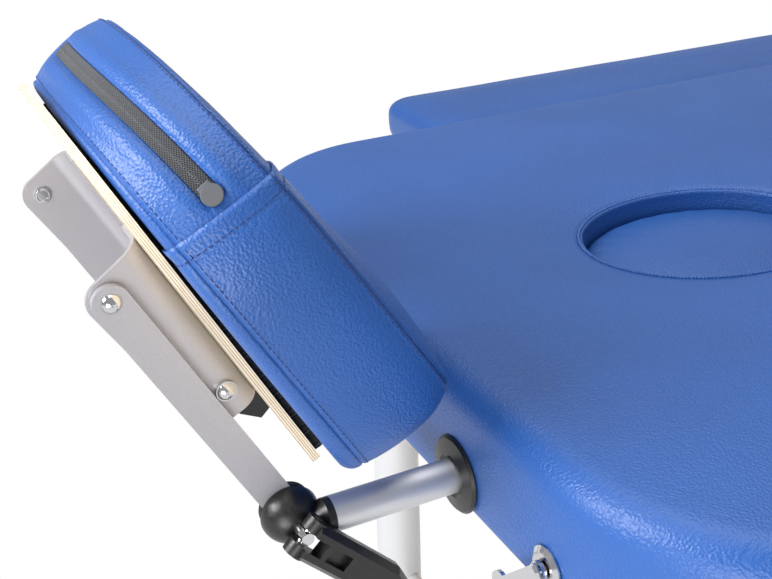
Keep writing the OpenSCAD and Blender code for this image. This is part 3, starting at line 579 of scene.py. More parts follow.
def waves(x: np.ndarray, y: np.ndarray, size: float, seed: float) -> np.ndarray:
    """Soft unevenness of stretched leatherette: a sum of slow waves, from -1 to 1."""
    k = 2 * math.pi / size
    return (np.sin(k * (x + 0.37 * y) + seed) + np.sin(k * (0.81 * y - 0.42 * x) + 2.1 * seed)
            + np.sin(k * 1.7 * (0.6 * x + 0.5 * y) + 3.3 * seed) * 0.6) / 2.6


# Table pads


@dataclass
class TablePad:
    """One half of the padded top, in millimetres from its own end."""

    name: str
    mirrored: bool
    hole: bool
    body: str
    length: float = 929.85
    half_width: float = 350.0
    end_corner: float = 140.0
    joint_corner: float = 9.0
    top: float = 700.0
    hem: float = 612.0
    deck_top: float = 655.0
    edge_radius: float = 22.0
    crown: float = 3.0
    crown_inset: float = 95.0
    joint_share: float = 0.3
    skirt: float = 2.7
    hole_x: float = 277.0
    hole_half_length: float = 100.0
    hole_half_width: float = 76.0
    table_length: float = 1860.0
    middle_x: float = 465.0
    hole_dip: float = 4.5
    top_steps: int = 30
    arc_points: int = 22
    side_points: int = 56
    end_points: int = 32
    joint_points: int = 44

    def outline(self, inset: float) -> np.ndarray:
        """Plan of the pad drawn in by an inset; the joint face keeps straighter.

        Args:
            inset: distance in from the outer plan.

        Returns:
            Points, anticlockwise from the middle of the end.
        """
        r = max(self.end_corner - inset, 2.0)
        c = self.half_width - self.end_corner
        jr = self.joint_corner
        x1 = self.length - inset * self.joint_share
        y1 = self.half_width - inset
        pts = corner_arc(self.end_corner, -c, r, 180, self.arc_points)
        pts += run_between((self.end_corner, -y1), (x1 - jr, -y1), self.side_points)
        pts += corner_arc(x1 - jr, -y1 + jr, jr, 270, 5)
        pts += run_between((x1, -y1 + jr), (x1, y1 - jr), self.joint_points)
        pts += corner_arc(x1 - jr, y1 - jr, jr, 0, 5)
        pts += run_between((x1 - jr, y1), (self.end_corner, y1), self.side_points)
        pts += corner_arc(self.end_corner, c, r, 90, self.arc_points)
        return np.array(pts + run_between((inset, c), (inset, -c), self.end_points))

    def ring(self, inset: float, z: float) -> np.ndarray:
        """One ring of the pad's skin at an inset and height."""
        plan = self.outline(inset)
        return np.column_stack([plan, np.full(len(plan), z)])

    def hole_ring(self, grow: float, z: float, outer: np.ndarray) -> np.ndarray:
        """A ring of the face hole whose points face those of the outer plan."""
        a, b = self.hole_half_length + grow, self.hole_half_width + grow
        turn = np.arctan2(outer[:, 1] / b, (outer[:, 0] - self.hole_x) / a)
        return np.column_stack([self.hole_x + a * np.cos(turn), b * np.sin(turn), np.full(len(turn), z)])

    def top_height(self, x: np.ndarray, y: np.ndarray, inset: np.ndarray) -> np.ndarray:
        """Height of the top at an inset of the plan: a crown, soft waves and the dip at the hole."""
        t = np.clip((inset - self.edge_radius) / (self.crown_inset - self.edge_radius), 0, 1)
        z = self.top - self.crown * (1 - t) ** 2 + 0.5 * waves(x, y, 260.0, 1.3 + self.mirrored) * t
        if self.hole:
            out = np.hypot((x - self.hole_x) / self.hole_half_length, y / self.hole_half_width) - 1
            away = np.clip(out * 88.0, 0, 60) / 60
            z = z - self.hole_dip * (1 - away) ** 2.2
        return z

    def skin(self) -> list[np.ndarray]:
        """All rings of the closed skin, from the hole or the middle out, down and back under the pad."""
        rings: list[np.ndarray] = []
        edge = self.outline(self.edge_radius)
        if self.hole:
            rim = self.hole_ring(0.6, 0.0, edge)[:, :2]
            rim_z = float(self.top_height(rim[:1, 0], rim[:1, 1], np.array([200.0]))[0])
            for drop in (rim_z - self.deck_top, 30.0, 18.0, 8.0, 3.0):
                rings.append(self.hole_ring(0.2 + 0.4 * (drop < 5), rim_z - drop, edge))
            for grow, lift in ((0.2, -1.2), (0.7, 0.3), (1.7, 0.9), (2.8, 0.4), (3.6, -0.6)):
                rings.append(self.hole_ring(grow, rim_z + lift, edge))
            start = self.hole_ring(5.0, 0.0, edge)[:, :2]
        else:
            start = edge * 0.02 + np.array([self.middle_x, 0.0]) * 0.98
        inner = self.crown_inset * 1.6
        for k in range(self.top_steps + 1):
            t = k / self.top_steps
            share = t ** 1.15 if self.hole else t
            plan = start + (edge - start) * share
            inset = self.edge_radius + (1 - share) * inner
            z = self.top_height(plan[:, 0], plan[:, 1], np.full(len(plan), inset))
            rings.append(np.column_stack([plan, z]))
        top = self.top - self.crown
        for i in range(1, 8):
            a = math.radians(90 - 90 * i / 7)
            rings.append(self.ring(self.edge_radius * (1 - math.cos(a)),
                                   top - self.edge_radius * (1 - math.sin(a))))
        turned_in = self.skirt + 2.2
        sides = ((0.1, 664.0), (0.3, 652.0), (0.5, 640.0), (1.1, 628.0), (1.8, 618.0), (2.3, 613.5),
                 (2.9, self.hem + 0.2), (4.0, self.hem + 0.2), (turned_in, self.hem + 2.0),
                 (turned_in, 630.0), (turned_in, 645.0), (turned_in, self.deck_top))
        rings.extend(self.ring(inset, z) for inset, z in sides)
        if not self.hole:
            under = self.outline(turned_in)
            for share in (0.6, 0.2, 0.02):
                plan = under * share + np.array([self.middle_x, 0.0]) * (1 - share)
                rings.append(np.column_stack([plan, np.full(len(plan), self.deck_top)]))
        return rings

    def build(self, finishes: Finishes) -> bpy.types.Object:
        """Make the pad.

        Args:
            finishes: the table's materials.

        Returns:
            The pad's object.
        """
        rings = self.skin()
        if self.mirrored:
            for ring in rings:
                ring[:, 0] = self.table_length - ring[:, 0]
        node = "foot_pad" if self.mirrored else "head_pad"
        return cover(self.name, rings, finishes.leather, self.body, node, through=self.hole)


@dataclass
class FaceHoleWelt:
    """Pleated rim of leatherette round the face hole, in table millimetres."""

    hole_x: float = 277.0
    half_length: float = 103.4
    half_width: float = 79.4
    height: float = 696.2
    pleats: int = 236
    per_pleat: int = 6
    section: int = 8
    thickness: float = 1.25

    def build(self, finishes: Finishes) -> bpy.types.Object:
        """Make the welt as one ring whose thickness swells at every pleat.

        Args:
            finishes: the table's materials.

        Returns:
            The welt's object.
        """
        around = self.pleats * self.per_pleat
        turn = np.arange(around) / around * 2 * math.pi
        swell = 1 + 0.22 * np.sin(turn * self.pleats) + 0.12 * np.sin(turn * 41 + 0.7)
        rings = []
        for k in range(self.section):
            a = 2 * math.pi * k / self.section
            r = self.thickness * swell
            x = self.hole_x + (self.half_length + r * math.cos(a)) * np.cos(turn)
            y = (self.half_width + r * math.cos(a)) * np.sin(turn)
            z = self.height + r * math.sin(a)
            rings.append(table_points(np.column_stack([x, y, z])))
        obj = mesh_piece("face_hole_welt", np.vstack(rings), ring_faces(self.section, around, closed=True))
        outward(obj)
        return finish_piece(obj, finishes.leather, Body.HEAD.value)


@dataclass
class PlugCushion:
    """Oval cushion that closes the face hole, in table millimetres."""

    centre_x: float = 277.0
    half_length: float = 99.2
    half_width: float = 75.2
    low: float = 660.4
    top: float = 688.0
    edge_radius: float = 10.0
    crown: float = 5.0
    around: int = 288

    def ring(self, inset: float, z: float, pucker: float = 0.0) -> np.ndarray:
        """One ring of the skin, its border gathered by small radial folds."""
        turn = np.arange(self.around) / self.around * 2 * math.pi
        folds = np.sin(turn * 23 + 0.8 * np.sin(turn * 5)) * (0.35 + 0.65 * np.clip(-np.sin(turn), 0, 1))
        x = self.centre_x + (self.half_length - inset) * np.cos(turn)
        y = (self.half_width - inset) * np.sin(turn)
        return np.column_stack([x, y, z + pucker * folds])

    def build(self, finishes: Finishes) -> bpy.types.Object:
        """Make the cushion.

        Args:
            finishes: the table's materials.

        Returns:
            The cushion's object.
        """
        shoulder = self.top - self.crown
        rings = [self.ring(1.2, self.low), self.ring(0.3, self.low + 2.0), self.ring(0.0, self.low + 8.0)]
        for i in range(9):
            a = math.radians(90 * i / 8)
            inset = self.edge_radius * (1 - math.cos(a))
            rings.append(self.ring(inset, shoulder - self.edge_radius * (1 - math.sin(a)), 0.5 * math.sin(a)))
        for inset in (13.0, 17.0, 22.0, 28.0, 35.0, 43.0, 52.0, 62.0, 71.0):
            t = min((inset - self.edge_radius) / 45.0, 1.0)
            rise = self.crown * math.sin(t * math.pi / 2)
            rings.append(self.ring(inset, shoulder + rise, 0.5 * math.exp(-((inset - 10) / 9) ** 2)))
        return cover("face_plug_cover", rings, finishes.leather, Body.PLUG.value, "face_plug_cushion")


@dataclass
class ArmrestPad:
    """Side armrest wrapped in leatherette over its board, in table millimetres."""

    side: str
    sign: float
    start: float = 250.0
    length: float = 640.0
    inner_y: float = 356.0
    width: float = 160.0
    low: float = 640.0
    top: float = 680.0
    corner: float = 30.0
    edge_radius: float = 14.0
    crown: float = 4.0
    wrap: float = 4.0
    board: float = 8.0
    arc_points: int = 12
    long_points: int = 48
    short_points: int = 14

    def ring(self, inset: float, z: float) -> np.ndarray:
        """One ring of the skin."""
        r = self.corner - inset / 2
        x0, x1 = self.start + inset, self.start + self.length - inset
        y0, y1 = self.inner_y + inset, self.inner_y + self.width - inset
        points: list[tuple[float, float]] = []
        corners = ((x0 + r, y0 + r, 180), (x1 - r, y0 + r, 270), (x1 - r, y1 - r, 0), (x0 + r, y1 - r, 90))
        for number, (cx, cy, start) in enumerate(corners):
            points += corner_arc(cx, cy, r, start, self.arc_points)
            x, y, turn = corners[(number + 1) % 4]
            end = (x + r * math.cos(math.radians(turn)), y + r * math.sin(math.radians(turn)))
            points += run_between(points[-1], end, self.long_points if number % 2 == 0 else self.short_points)
        plan = np.array(points)
        lift = 0.25 * waves(plan[:, 0], plan[:, 1], 120.0, 0.7 + self.sign) if z > self.top - 18 else 0.0
        return np.column_stack([plan[:, 0], plan[:, 1] * self.sign, np.full(len(plan), z) + lift])

    def build(self, finishes: Finishes) -> bpy.types.Object:
        """Make the pad.

        Args:
            finishes: the table's materials.

        Returns:
            The pad's object.
        """
        rings = [self.ring(self.wrap, self.low + self.board), self.ring(self.wrap, self.low + 0.3),
                 self.ring(2.8, self.low), self.ring(1.8, self.low + 0.5), self.ring(0.8, self.low + 4.0),
                 self.ring(0.1, self.low + 11.0), self.ring(0.0, self.low + 17.0)]
        shoulder = self.top - self.crown
        for i in range(8):
            a = math.radians(90 * i / 7)
            inset = self.edge_radius * (1 - math.cos(a))
            rings.append(self.ring(inset, shoulder - self.edge_radius * (1 - math.sin(a))))
        for inset in (18.0, 24.0, 31.0, 39.0, 48.0, 58.0):
            t = min((inset - self.edge_radius) / 34.0, 1.0)
            rings.append(self.ring(inset, shoulder + self.crown * math.sin(t * math.pi / 2)))
        return cover(f"armrest_cover_{self.side}", rings, finishes.leather, f"armrest_{self.side}",
                     f"armrest_pad_{self.side}")


# Headrest cushion


@dataclass
class HookAndLoopPile:
    """Pile layer between board and cushion with a frayed edge, in headrest millimetres."""

    board_start: float = 45.0
    board_end: float = 243.0
    half_width: float = 130.0
    inset: float = 3.0
    corner: float = 8.0
    wide_x: float = -149.3
    face_x: float = -118.4
    face_half_length: float = 75.0
    face_half_width: float = 56.0
    half_gap: float = 32.0
    low: float = 34.6
    far_high: float = 36.0
    near_high: float = 41.2
    count: int = 620

    def outer(self) -> np.ndarray:
        """Outer edge from one side of the gap to the other."""
        half, end = self.half_width - self.inset, -self.board_start - self.inset
        c = self.corner
        points = [(end, self.half_gap)] + corner_arc(end - c, half - c, c, 0, 9)
        reach = self.board_end + self.wide_x - self.inset
        for i in range(97):
            t = math.radians(90 + 180 * i / 96)
            points.append((self.wide_x + reach * math.copysign(abs(math.cos(t)) ** (2 / 2.2), math.cos(t)),
                           half * math.copysign(abs(math.sin(t)) ** (2 / 2.2), math.sin(t))))
        points += corner_arc(end - c, -half + c, c, 270, 9) + [(end, -self.half_gap)]
        return even(np.array(points), self.count)

    def inner(self) -> np.ndarray:
        """Edge at the face opening, in the same direction."""
        start = math.asin(self.half_gap / self.face_half_width)
        turn = np.linspace(start, 2 * math.pi - start, 400)
        points = np.column_stack([self.face_x + self.face_half_length * np.cos(turn),
                                  self.face_half_width * np.sin(turn)])
        return even(points, self.count)

    def thickness(self, x: np.ndarray) -> np.ndarray:
        """Height of the pile over the board, pressed flat at the far end and loose at the limb ends."""
        along = np.clip((x + self.board_end) / (self.board_end - self.board_start), 0.0, 1.0)
        return self.far_high - self.low + (self.near_high - self.far_high) * along ** 1.2

    def build(self, finishes: Finishes) -> bpy.types.Object:
        """Make the pile layer.

        Args:
            finishes: the table's materials.

        Returns:
            The layer's object.
        """
        k = np.arange(self.count)
        fray = 0.22 * np.sin(k * 2.9) * np.sin(k * 0.83 + 1.0) + 0.12 * np.sin(k * 5.3)
        outer, inner = self.outer(), self.inner()
        side = inner - outer
        side /= np.linalg.norm(side, axis=1, keepdims=True)
        outer = outer + side * (0.4 + fray)[:, None]
        loops = [(outer, 0.0), (outer - side * 0.4, 0.5), (outer, 1.0), (inner, 1.0), (inner, 0.0)]
        rows = np.stack([np.column_stack([p, self.low + share * self.thickness(p[:, 0])])
                         for p, share in loops], axis=1)
        points = HEADREST.points(rows).reshape(-1, 3)
        n = len(loops)
        faces = [(a * n + i, a * n + (i + 1) % n, (a + 1) * n + (i + 1) % n, (a + 1) * n + i)
                 for a in range(self.count - 1) for i in range(n)]
        faces.append(tuple(range(n - 1, -1, -1)))
        faces.append(tuple((self.count - 1) * n + i for i in range(n)))
        obj = mesh_piece("hook_and_loop_pile", points, faces, smooth=False)
        outward(obj)
        return finish_piece(obj, finishes.pile, Body.PLATFORM.value, ("hook_and_loop",))


@dataclass
class ScrewFace:
    """Inner end of a bracket's pivot, a ring round a flat black hexagon that is painted shade of the
    six-sided socket, in headrest millimetres.
    """

    x: float = -178.0
    y: float = 84.0
    ring_radius: float = 3.9
    socket_radius: float = 2.1

    def build(self, finishes: Finishes) -> None:
        """Make the rings and the painted socket shade of both sides.

        Args:
            finishes: the table's materials.
        """
        for side, sign in (("near", -1.0), ("far", 1.0)):
            at = Vector(HEADREST.point(self.x, sign * self.y, 0.0))
            turn = (math.radians(90), 0.0, 0.0)
            deselect()
            bpy.ops.mesh.primitive_torus_add(location=at, rotation=turn, major_segments=64, minor_segments=16,
                                             major_radius=self.ring_radius * MM, minor_radius=0.8 * MM)
            self.keep(f"pivot_ring_{side}", finishes.chrome)
            deselect()
            # painted shade: the socket's recess is a flat black hexagon of the nylon finish, not a hole
            bpy.ops.mesh.primitive_cylinder_add(vertices=6, radius=self.socket_radius * MM, depth=0.5 * MM,
                                                location=at, rotation=turn)
            self.keep(f"pivot_socket_shade_{side}", finishes.nylon)

    @staticmethod
    def keep(name: str, material: bpy.types.Material) -> None:
        """Name the piece just made and let it ride on the platform."""
        obj = bpy.context.object
        obj.name = name
        bpy.ops.object.transform_apply(location=True, rotation=True)
        finish_piece(obj, material, Body.PLATFORM.value)


@dataclass
class HorseshoeCushion:
    """Horseshoe cushion with sewn seams, a zipper and a slip-on sleeve, in headrest millimetres."""

    start: float = 10.0
    length: float = 253.0
    width: float = 292.0
    limb_share: float = 0.54
    face_share: float = 0.42
    head_power: float = 2.2
    limb_power: float = 5.5
    face_length: float = 150.0
    face_width: float = 112.0
    limb_gap: float = 64.0
    end_radius: float = 16.0
    far_low: float = 36.2
    near_low: float = 41.4
    end_lean: float = 13.5
    far_height: float = 62.5
    near_height: float = 82.4
    far_seam: float = 3.5
    near_seam: float = 9.8
    sweep_count: int = 132
    across_count: int = 6
    sleeve_x: float = -201.5
    hem: float = 6.4
    zip_start: float = 0.668
    zip_end: float = 0.452
    # Way across the limb in millimetres and share of the wall between the seams, for the outer side
    outer_knots: tuple[tuple[float, float], ...] = (
        (14.0, -1.0), (5.4, -0.94), (1.4, -0.58), (0.0, 0.0),
        (-2.8, 0.22), (-3.8, 0.525), (-1.8, 0.8), (4.6, 1.0))
    inner_knots: tuple[tuple[float, float], ...] = (
        (5.0, 1.0), (0.8, 0.78), (-0.6, 0.48), (0.0, 0.2),
        (1.0, 0.0), (2.0, -0.58), (5.6, -0.94), (14.0, -1.0))
    seam_share: float = 0.89
    crown_shares: tuple[tuple[float, float], ...] = ((0.2, 0.955), (0.4, 0.985), (0.62, 0.985), (0.82, 0.95))
    # Numbers of the section's knots that are sewn: lower outer, upper outer, upper inner, lower inner
    sewn: tuple[int, ...] = (3, 7, 12, 16)
    zip_knot: int = 5
    zip_half_width: float = 5.3
    zip_depth: float = 2.6
    end_turns: tuple[int, ...] = (86, 70, 54, 40, 27, 13)
    leather_mm: float = 1.2
    # Distance of the stitches from the lower outer, upper outer and upper inner seam
    stitch_offsets: tuple[float, float, float] = (2.4, -2.8, 2.8)

    def plan_pair(self, share: float) -> tuple[np.ndarray, np.ndarray]:
        """Outer and inner plan points at a share of the sweep from limb end to limb end."""
        limb_y = self.limb_gap / 2 + self.end_radius
        b = self.width / 2
        limb_part = self.length * self.limb_share
        t0 = math.asin((limb_y / b) ** (self.limb_power / 2))
        t = t0 + share * (2 * math.pi - 2 * t0)
        c, s = math.cos(t), math.sin(t)
        a, e = (self.length - limb_part, self.head_power) if c < 0 else (limb_part, self.limb_power)
        outer = np.array([math.copysign(a * abs(c) ** (2 / e), c) - self.start - limb_part,
                          math.copysign(b * abs(s) ** (2 / e), s)])
        u0 = math.asin(limb_y / (self.face_width / 2))
        u = u0 + share * (2 * math.pi - 2 * u0)
        inner = np.array([self.face_length / 2 * math.cos(u) - self.start - self.length * self.face_share,
                          self.face_width / 2 * math.sin(u)])
        return outer, inner

    def even_shares(self) -> list[float]:
        """Shares of the sweep whose sections stand at even distances along both walls."""
        dense = np.linspace(0.0, 1.0, 4001)
        pairs = [self.plan_pair(float(d)) for d in dense]
        outer = np.array([p[0] for p in pairs])
        inner = np.array([p[1] for p in pairs])
        steps = (np.linalg.norm(np.diff(outer, axis=0), axis=1)
                 + 0.6 * np.linalg.norm(np.diff(inner, axis=0), axis=1))
        run = np.concatenate([[0.0], np.cumsum(steps)])
        return [float(v) for v in np.interp(np.linspace(0.0, run[-1], self.sweep_count + 1), run, dense)]

    @staticmethod
    def blend(far: float, near: float, along: float) -> float:
        """Value between the cushion's far end and its limb ends."""
        return far + (near - far) * along

    def section(self, share: float, inset: float = 0.0, shift: float = 0.0) -> np.ndarray:
        """One closed section of the limb.

        Args:
            share: place along the sweep.
            inset: how far the section is drawn in, for rounded limb ends.
            shift: sideways move of the section.

        Returns:
            Points of the section, starting at its outer foot.
        """
        o, i = self.plan_pair(share)
        w = float(np.linalg.norm(i - o))
        d = (i - o) / w
        along = (float(o[0]) + self.start + self.length) / self.length
        h = self.blend(self.far_height, self.near_height, along)
        low_seam = self.blend(self.far_seam, self.near_seam, along)
        wall = h * self.seam_share - low_seam
        knots = []
        for side, rows in ((1, self.outer_knots), (-1, self.inner_knots)):
            if side < 0:
                knots.extend((w * across, h * up) for across, up in self.crown_shares)
            for way, up in rows:
                up -= 0.48 * (1 - along) ** 7 * max(up, 0.0) * (1 - up)
                z = low_seam + (wall if up > 0 else low_seam) * up
                leaning = way + self.end_lean * max(float(d[0]), 0.0) ** 1.5 * (1 - max(up, 0.0))
                knots.append((leaning if side > 0 else w - way, z))
        fine = smooth_closed(np.array(knots), self.across_count)
        narrow = (w - 2 * inset) / w
        plan = o[None, :] + d[None, :] * (inset + fine[:, 0] * narrow)[:, None]
        foot = self.blend(self.far_low, self.near_low, along) + inset / 2
        z = foot + np.maximum(fine[:, 1], 0.0) * (h - inset) / h
        return np.column_stack([plan[:, 0], plan[:, 1] + shift, z])

    def end_sections(self, share: float, way: float) -> list[np.ndarray]:
        """Sections that round off one limb end, the outermost first."""
        turns = [math.radians(a) for a in self.end_turns]
        r = self.end_radius
        return [self.section(share, r * (1 - math.cos(a)), way * r * math.sin(a)) for a in turns]

    def grid(self) -> np.ndarray:
        """All sections from limb end to limb end."""
        middle = [self.section(share) for share in self.even_shares()]
        return np.array(self.end_sections(0.0, -1.0) + middle + self.end_sections(1.0, 1.0)[::-1])

    def inflate(self, rows: np.ndarray) -> np.ndarray:
        """Swell the panels between their seams with a short cloth simulation.

        Args:
            rows: the sections before filling, in headrest millimetres.

        Returns:
            The sections after filling.
        """
        count, around = rows.shape[:2]
        points = HEADREST.points(rows).reshape(-1, 3)
        obj = mesh_piece("cushion_filling", points, capped_faces(count, around))
        outward(obj)
        seam = [k * around + n * self.across_count for n in self.sewn for k in range(count)]
        last = len(self.outer_knots) + len(self.crown_shares) + len(self.inner_knots) - 1
        floor = [k * around + (last * self.across_count + i) % around for k in range(count)
                 for i in range(self.across_count + 1)]
        group = obj.vertex_groups.new(name="sewn")
        group.add(seam + floor, 1.0, "REPLACE")
        moved = simulate(obj, group.name, pressure=4.0, cap=5.5 * MM)
        bpy.data.objects.remove(obj)
        delta = (moved - points).reshape(count, around, 3)
        c, s = math.cos(math.radians(HEADREST.tilt_deg)), math.sin(math.radians(HEADREST.tilt_deg))
        local = np.stack([delta[..., 0] * c - delta[..., 2] * s, delta[..., 1],
                          delta[..., 0] * s + delta[..., 2] * c], axis=-1) / MM
        return rows + local

    def build(self, finishes: Finishes) -> None:
        """Make the cushion, its sleeve, its stitches and its zipper.

        Args:
            finishes: the table's materials.
        """
        rows = self.grid()
        rows = self.inflate(rows)
        fine, places = refine(rows, 2, self.across_count, self.sewn)
        skin = GridSkin(fine, places)
        seams = [skin.knot(n * self.across_count) for n in self.sewn]
        body = fine + skin.normals * seam_profile(skin, seams)[..., None]
        body = body - skin.normals * (self.zip_depth * self.zip_channel(skin))[..., None]
        obj = skin.piece("headrest_cushion_cover", body)
        finish_piece(obj, finishes.leather, Body.PLATFORM.value, ("headrest_cushion",))
        first, last = self.sleeve(finishes, skin, body, seams)
        self.zipper(finishes, skin, body)
        bare = slice(first, last + 1)
        for number, offset in enumerate(self.stitch_offsets):
            line, up = skin.trace(body, seams[number] + offset)
            stitches(f"cushion_stitches_{number}", (line + up * 0.1)[bare], up[bare], finishes.thread)

    def zip_channel(self, skin: "GridSkin") -> np.ndarray:
        """Weight of the slit for the zipper over the skin, 1 in its middle."""
        k = np.arange(skin.count)[:, None]
        low, high = skin.sweep_row(self.zip_end, self), skin.sweep_row(self.zip_start, self)
        along = np.clip((k - low + 2) / 3, 0, 1) * np.clip((high + 2 - k) / 3, 0, 1)
        v = skin.lengths_from(skin.knot(self.zip_knot * self.across_count))
        across = np.clip((6.8 - np.abs(v)) / 1.3, 0, 1)
        lips = np.exp(-((np.abs(v) - 12.0) / 5.0) ** 2)
        return along * (across - 0.6 * lips)

    def sleeve(self, finishes: Finishes, skin: "GridSkin", body: np.ndarray,
               seams: list[float]) -> tuple[int, int]:
        """Make the second layer of leatherette over both limbs, with a folded and stitched edge.

        Args:
            finishes: the table's materials.
            skin: the measured skin of the cushion.
            body: the cushion's own surface over that skin.
            seams: girth places of the sewn seams.

        Returns:
            Rows of the skin at which the far and the near sleeve end.
        """
        outer_x = skin.rows[:, skin.knot_index(self.zip_knot * self.across_count), 0]
        middle = skin.count // 2
        first = int(np.argmax(outer_x[:middle] < self.sleeve_x))
        last = skin.count - 1 - int(np.argmax(outer_x[::-1][:middle] < self.sleeve_x))
        limbs = (("far", list(range(0, first + 1))), ("near", list(range(last, skin.count))))
        for side, use in limbs:
            edge = use[-1] if side == "far" else use[0]
            dist = np.abs(skin.along[use] - skin.along[edge])
            fold = 0.5 * np.exp(-((dist - 0.8) / 1.6) ** 2) - 0.45 * np.exp(-((dist - self.hem) / 1.2) ** 2)
            lift = self.leather_mm + fold
            slack = 0.3 * waves(skin.along[use][:, None], skin.girth[use][:, :-1], 19.0, 0.4)
            slack = slack * np.exp(-dist / 16)[:, None]
            sheet = body[use] + skin.normals[use] * (lift[:, None] + slack)[..., None]
            obj = skin.piece(f"headrest_sleeve_{side}", sheet, side == "far", side == "near")
            apply_modifier(obj, "SOLIDIFY", thickness=self.leather_mm * MM, offset=-1.0)
            finish_piece(obj, finishes.leather, Body.PLATFORM.value)
            row = np.argmin(np.abs(dist - self.hem))
            loop = sheet[row] + skin.normals[use[row]] * 0.2
            stitches(f"sleeve_stitches_{side}", loop, skin.normals[use[row]], finishes.thread, closed=True)
            inside = [k for k, away in zip(use, dist) if away > 2.0]
            for number, offset in enumerate(self.stitch_offsets[:2]):
                line, up = skin.trace(body, seams[number] + offset)
                line = line + up * 1.35
                stitches(f"sleeve_seam_{side}_{number}", line[inside], up[inside], finishes.thread)
        return first, last

    def zipper(self, finishes: Finishes, skin: "GridSkin", body: np.ndarray) -> None:
        """Tape with its woven map, the coil teeth and the slider with its round tab."""
        low, high = skin.sweep_row(self.zip_end, self), skin.sweep_row(self.zip_start, self)
        use = np.arange(int(low), int(high) + 1)
        centre = skin.knot(self.zip_knot * self.across_count)
        strips = []
        width = self.zip_half_width
        places = np.linspace(-width, width, 13)
        for v in places:
            line, up = skin.trace(body, centre + v)
            strips.append((line + up * (0.35 + 0.25 * math.exp(-(v / 1.6) ** 2)))[use])
        grid = np.stack(strips, axis=1)
        count, across = grid.shape[:2]
        faces = [(k * across + i, k * across + i + 1, (k + 1) * across + i + 1, (k + 1) * across + i)
                 for k in range(count - 1) for i in range(across - 1)]
        obj = mesh_piece("zipper_tape_weave", HEADREST.points(grid).reshape(-1, 3), faces)
        layer = obj.data.uv_layers.new(name="UVMap")
        along = np.concatenate([[0], np.cumsum(np.linalg.norm(np.diff(grid[:, 6], axis=0), axis=1))]) * MM
        for loop in obj.data.loops:
            k, i = divmod(loop.vertex_index, across)
            layer.data[loop.index].uv = (along[k], (places[i] + width) * MM)
        apply_modifier(obj, "SOLIDIFY", thickness=0.5 * MM, offset=-1.0)
        finish_piece(obj, finishes.tape, Body.PLATFORM.value, ("zipper_tape",))
        line, up = skin.trace(body, centre)
        line, up = line[use], up[use]
        repeat_blocks("zipper_coil", HEADREST.points(line + up * 0.75), HEADREST.points(line + up * 1.75),
                      pitch=1.5, size=(0.5, 1.7, 0.4), material=finishes.coil, body=Body.PLATFORM.value)
        self.pull(finishes, line[-1] + up[-1] * 1.2, up[-1], line[-1] - line[-4])

    def pull(self, finishes: Finishes, at: np.ndarray, up: np.ndarray, along: np.ndarray) -> None:
        """Slider body and its round tab, lying against the tape."""
        n = HEADREST.points(at + up) - HEADREST.points(at)
        t = HEADREST.points(at + along) - HEADREST.points(at)
        z = Vector(n).normalized()
        x = (Vector(t) - Vector(t).dot(z) * z).normalized()
        y = z.cross(x)
        base = Matrix.Translation(Vector(HEADREST.points(at))) @ Matrix((x, y, z)).transposed().to_4x4()
        deselect()
        bpy.ops.mesh.primitive_cylinder_add(vertices=48, radius=5.6 * MM, depth=1.5 * MM,
                                            location=(0.5 * MM, 0, 2.2 * MM))
        tab = bpy.context.object
        bpy.ops.object.transform_apply(location=True)
        apply_modifier(tab, "BEVEL", width=0.45 * MM, segments=3, angle_limit=0.6)
        bpy.ops.mesh.primitive_cube_add(size=1.0, location=(-1.5 * MM, 0, 0.8 * MM))
        block = bpy.context.object
        block.scale = (10 * MM, 7.5 * MM, 1.8 * MM)
        bpy.ops.object.transform_apply(location=True, scale=True)
        apply_modifier(block, "BEVEL", width=0.8 * MM, segments=3)
        deselect()
        block.select_set(True)
        tab.select_set(True)
        bpy.context.view_layer.objects.active = tab
        bpy.ops.object.join()
        tab.name = "zipper_pull_tab"
        tab.data.transform(base)
        tab.data.polygons.foreach_set("use_smooth", [False] * len(tab.data.polygons))
        finish_piece(tab, finishes.tab, Body.SLIDER.value, ("zipper_slider",))


def even(points: np.ndarray, count: int) -> np.ndarray:
    """Spread points evenly along an open line.

    Args:
        points: the line's corners.
        count: how many points are wanted.

    Returns:
        Points at even distances.
    """
    run = np.concatenate([[0.0], np.cumsum(np.linalg.norm(np.diff(points, axis=0), axis=1))])
    places = np.linspace(0.0, run[-1], count)
    return np.column_stack([np.interp(places, run, points[:, i]) for i in range(points.shape[1])])


def smooth_closed(knots: np.ndarray, per: int) -> np.ndarray:
    """Closed curve through knots.

    Args:
        knots: corner points in order.
        per: points for each stretch.

    Returns:
        Points of the curve; every per-th one is a knot.
    """
    n = len(knots)
    out = []
    for i in range(n):
        around = [knots[(i + d) % n] for d in (-1, 0, 1, 2)]
        out.extend(cubic(*around, j / per) for j in range(per))
    return np.array(out)


def cubic(p0: np.ndarray, p1: np.ndarray, p2: np.ndarray, p3: np.ndarray, t: float) -> np.ndarray:
    """Point between p1 and p2 on the smooth curve through four points, however uneven their distances."""
    before, here, after = (np.linalg.norm(b - a, axis=-1, keepdims=True) + 1e-9
                           for a, b in ((p0, p1), (p1, p2), (p2, p3)))
    leave = ((p2 - p1) * before + (p1 - p0) * here ** 2 / before) / (before + here)
    reach = ((p3 - p2) * here ** 2 / after + (p2 - p1) * after) / (here + after)
    return (p1 * (1 - 3 * t * t + 2 * t ** 3) + p2 * (3 * t * t - 2 * t ** 3)
            + leave * (t - 2 * t * t + t ** 3) + reach * (t ** 3 - t * t))


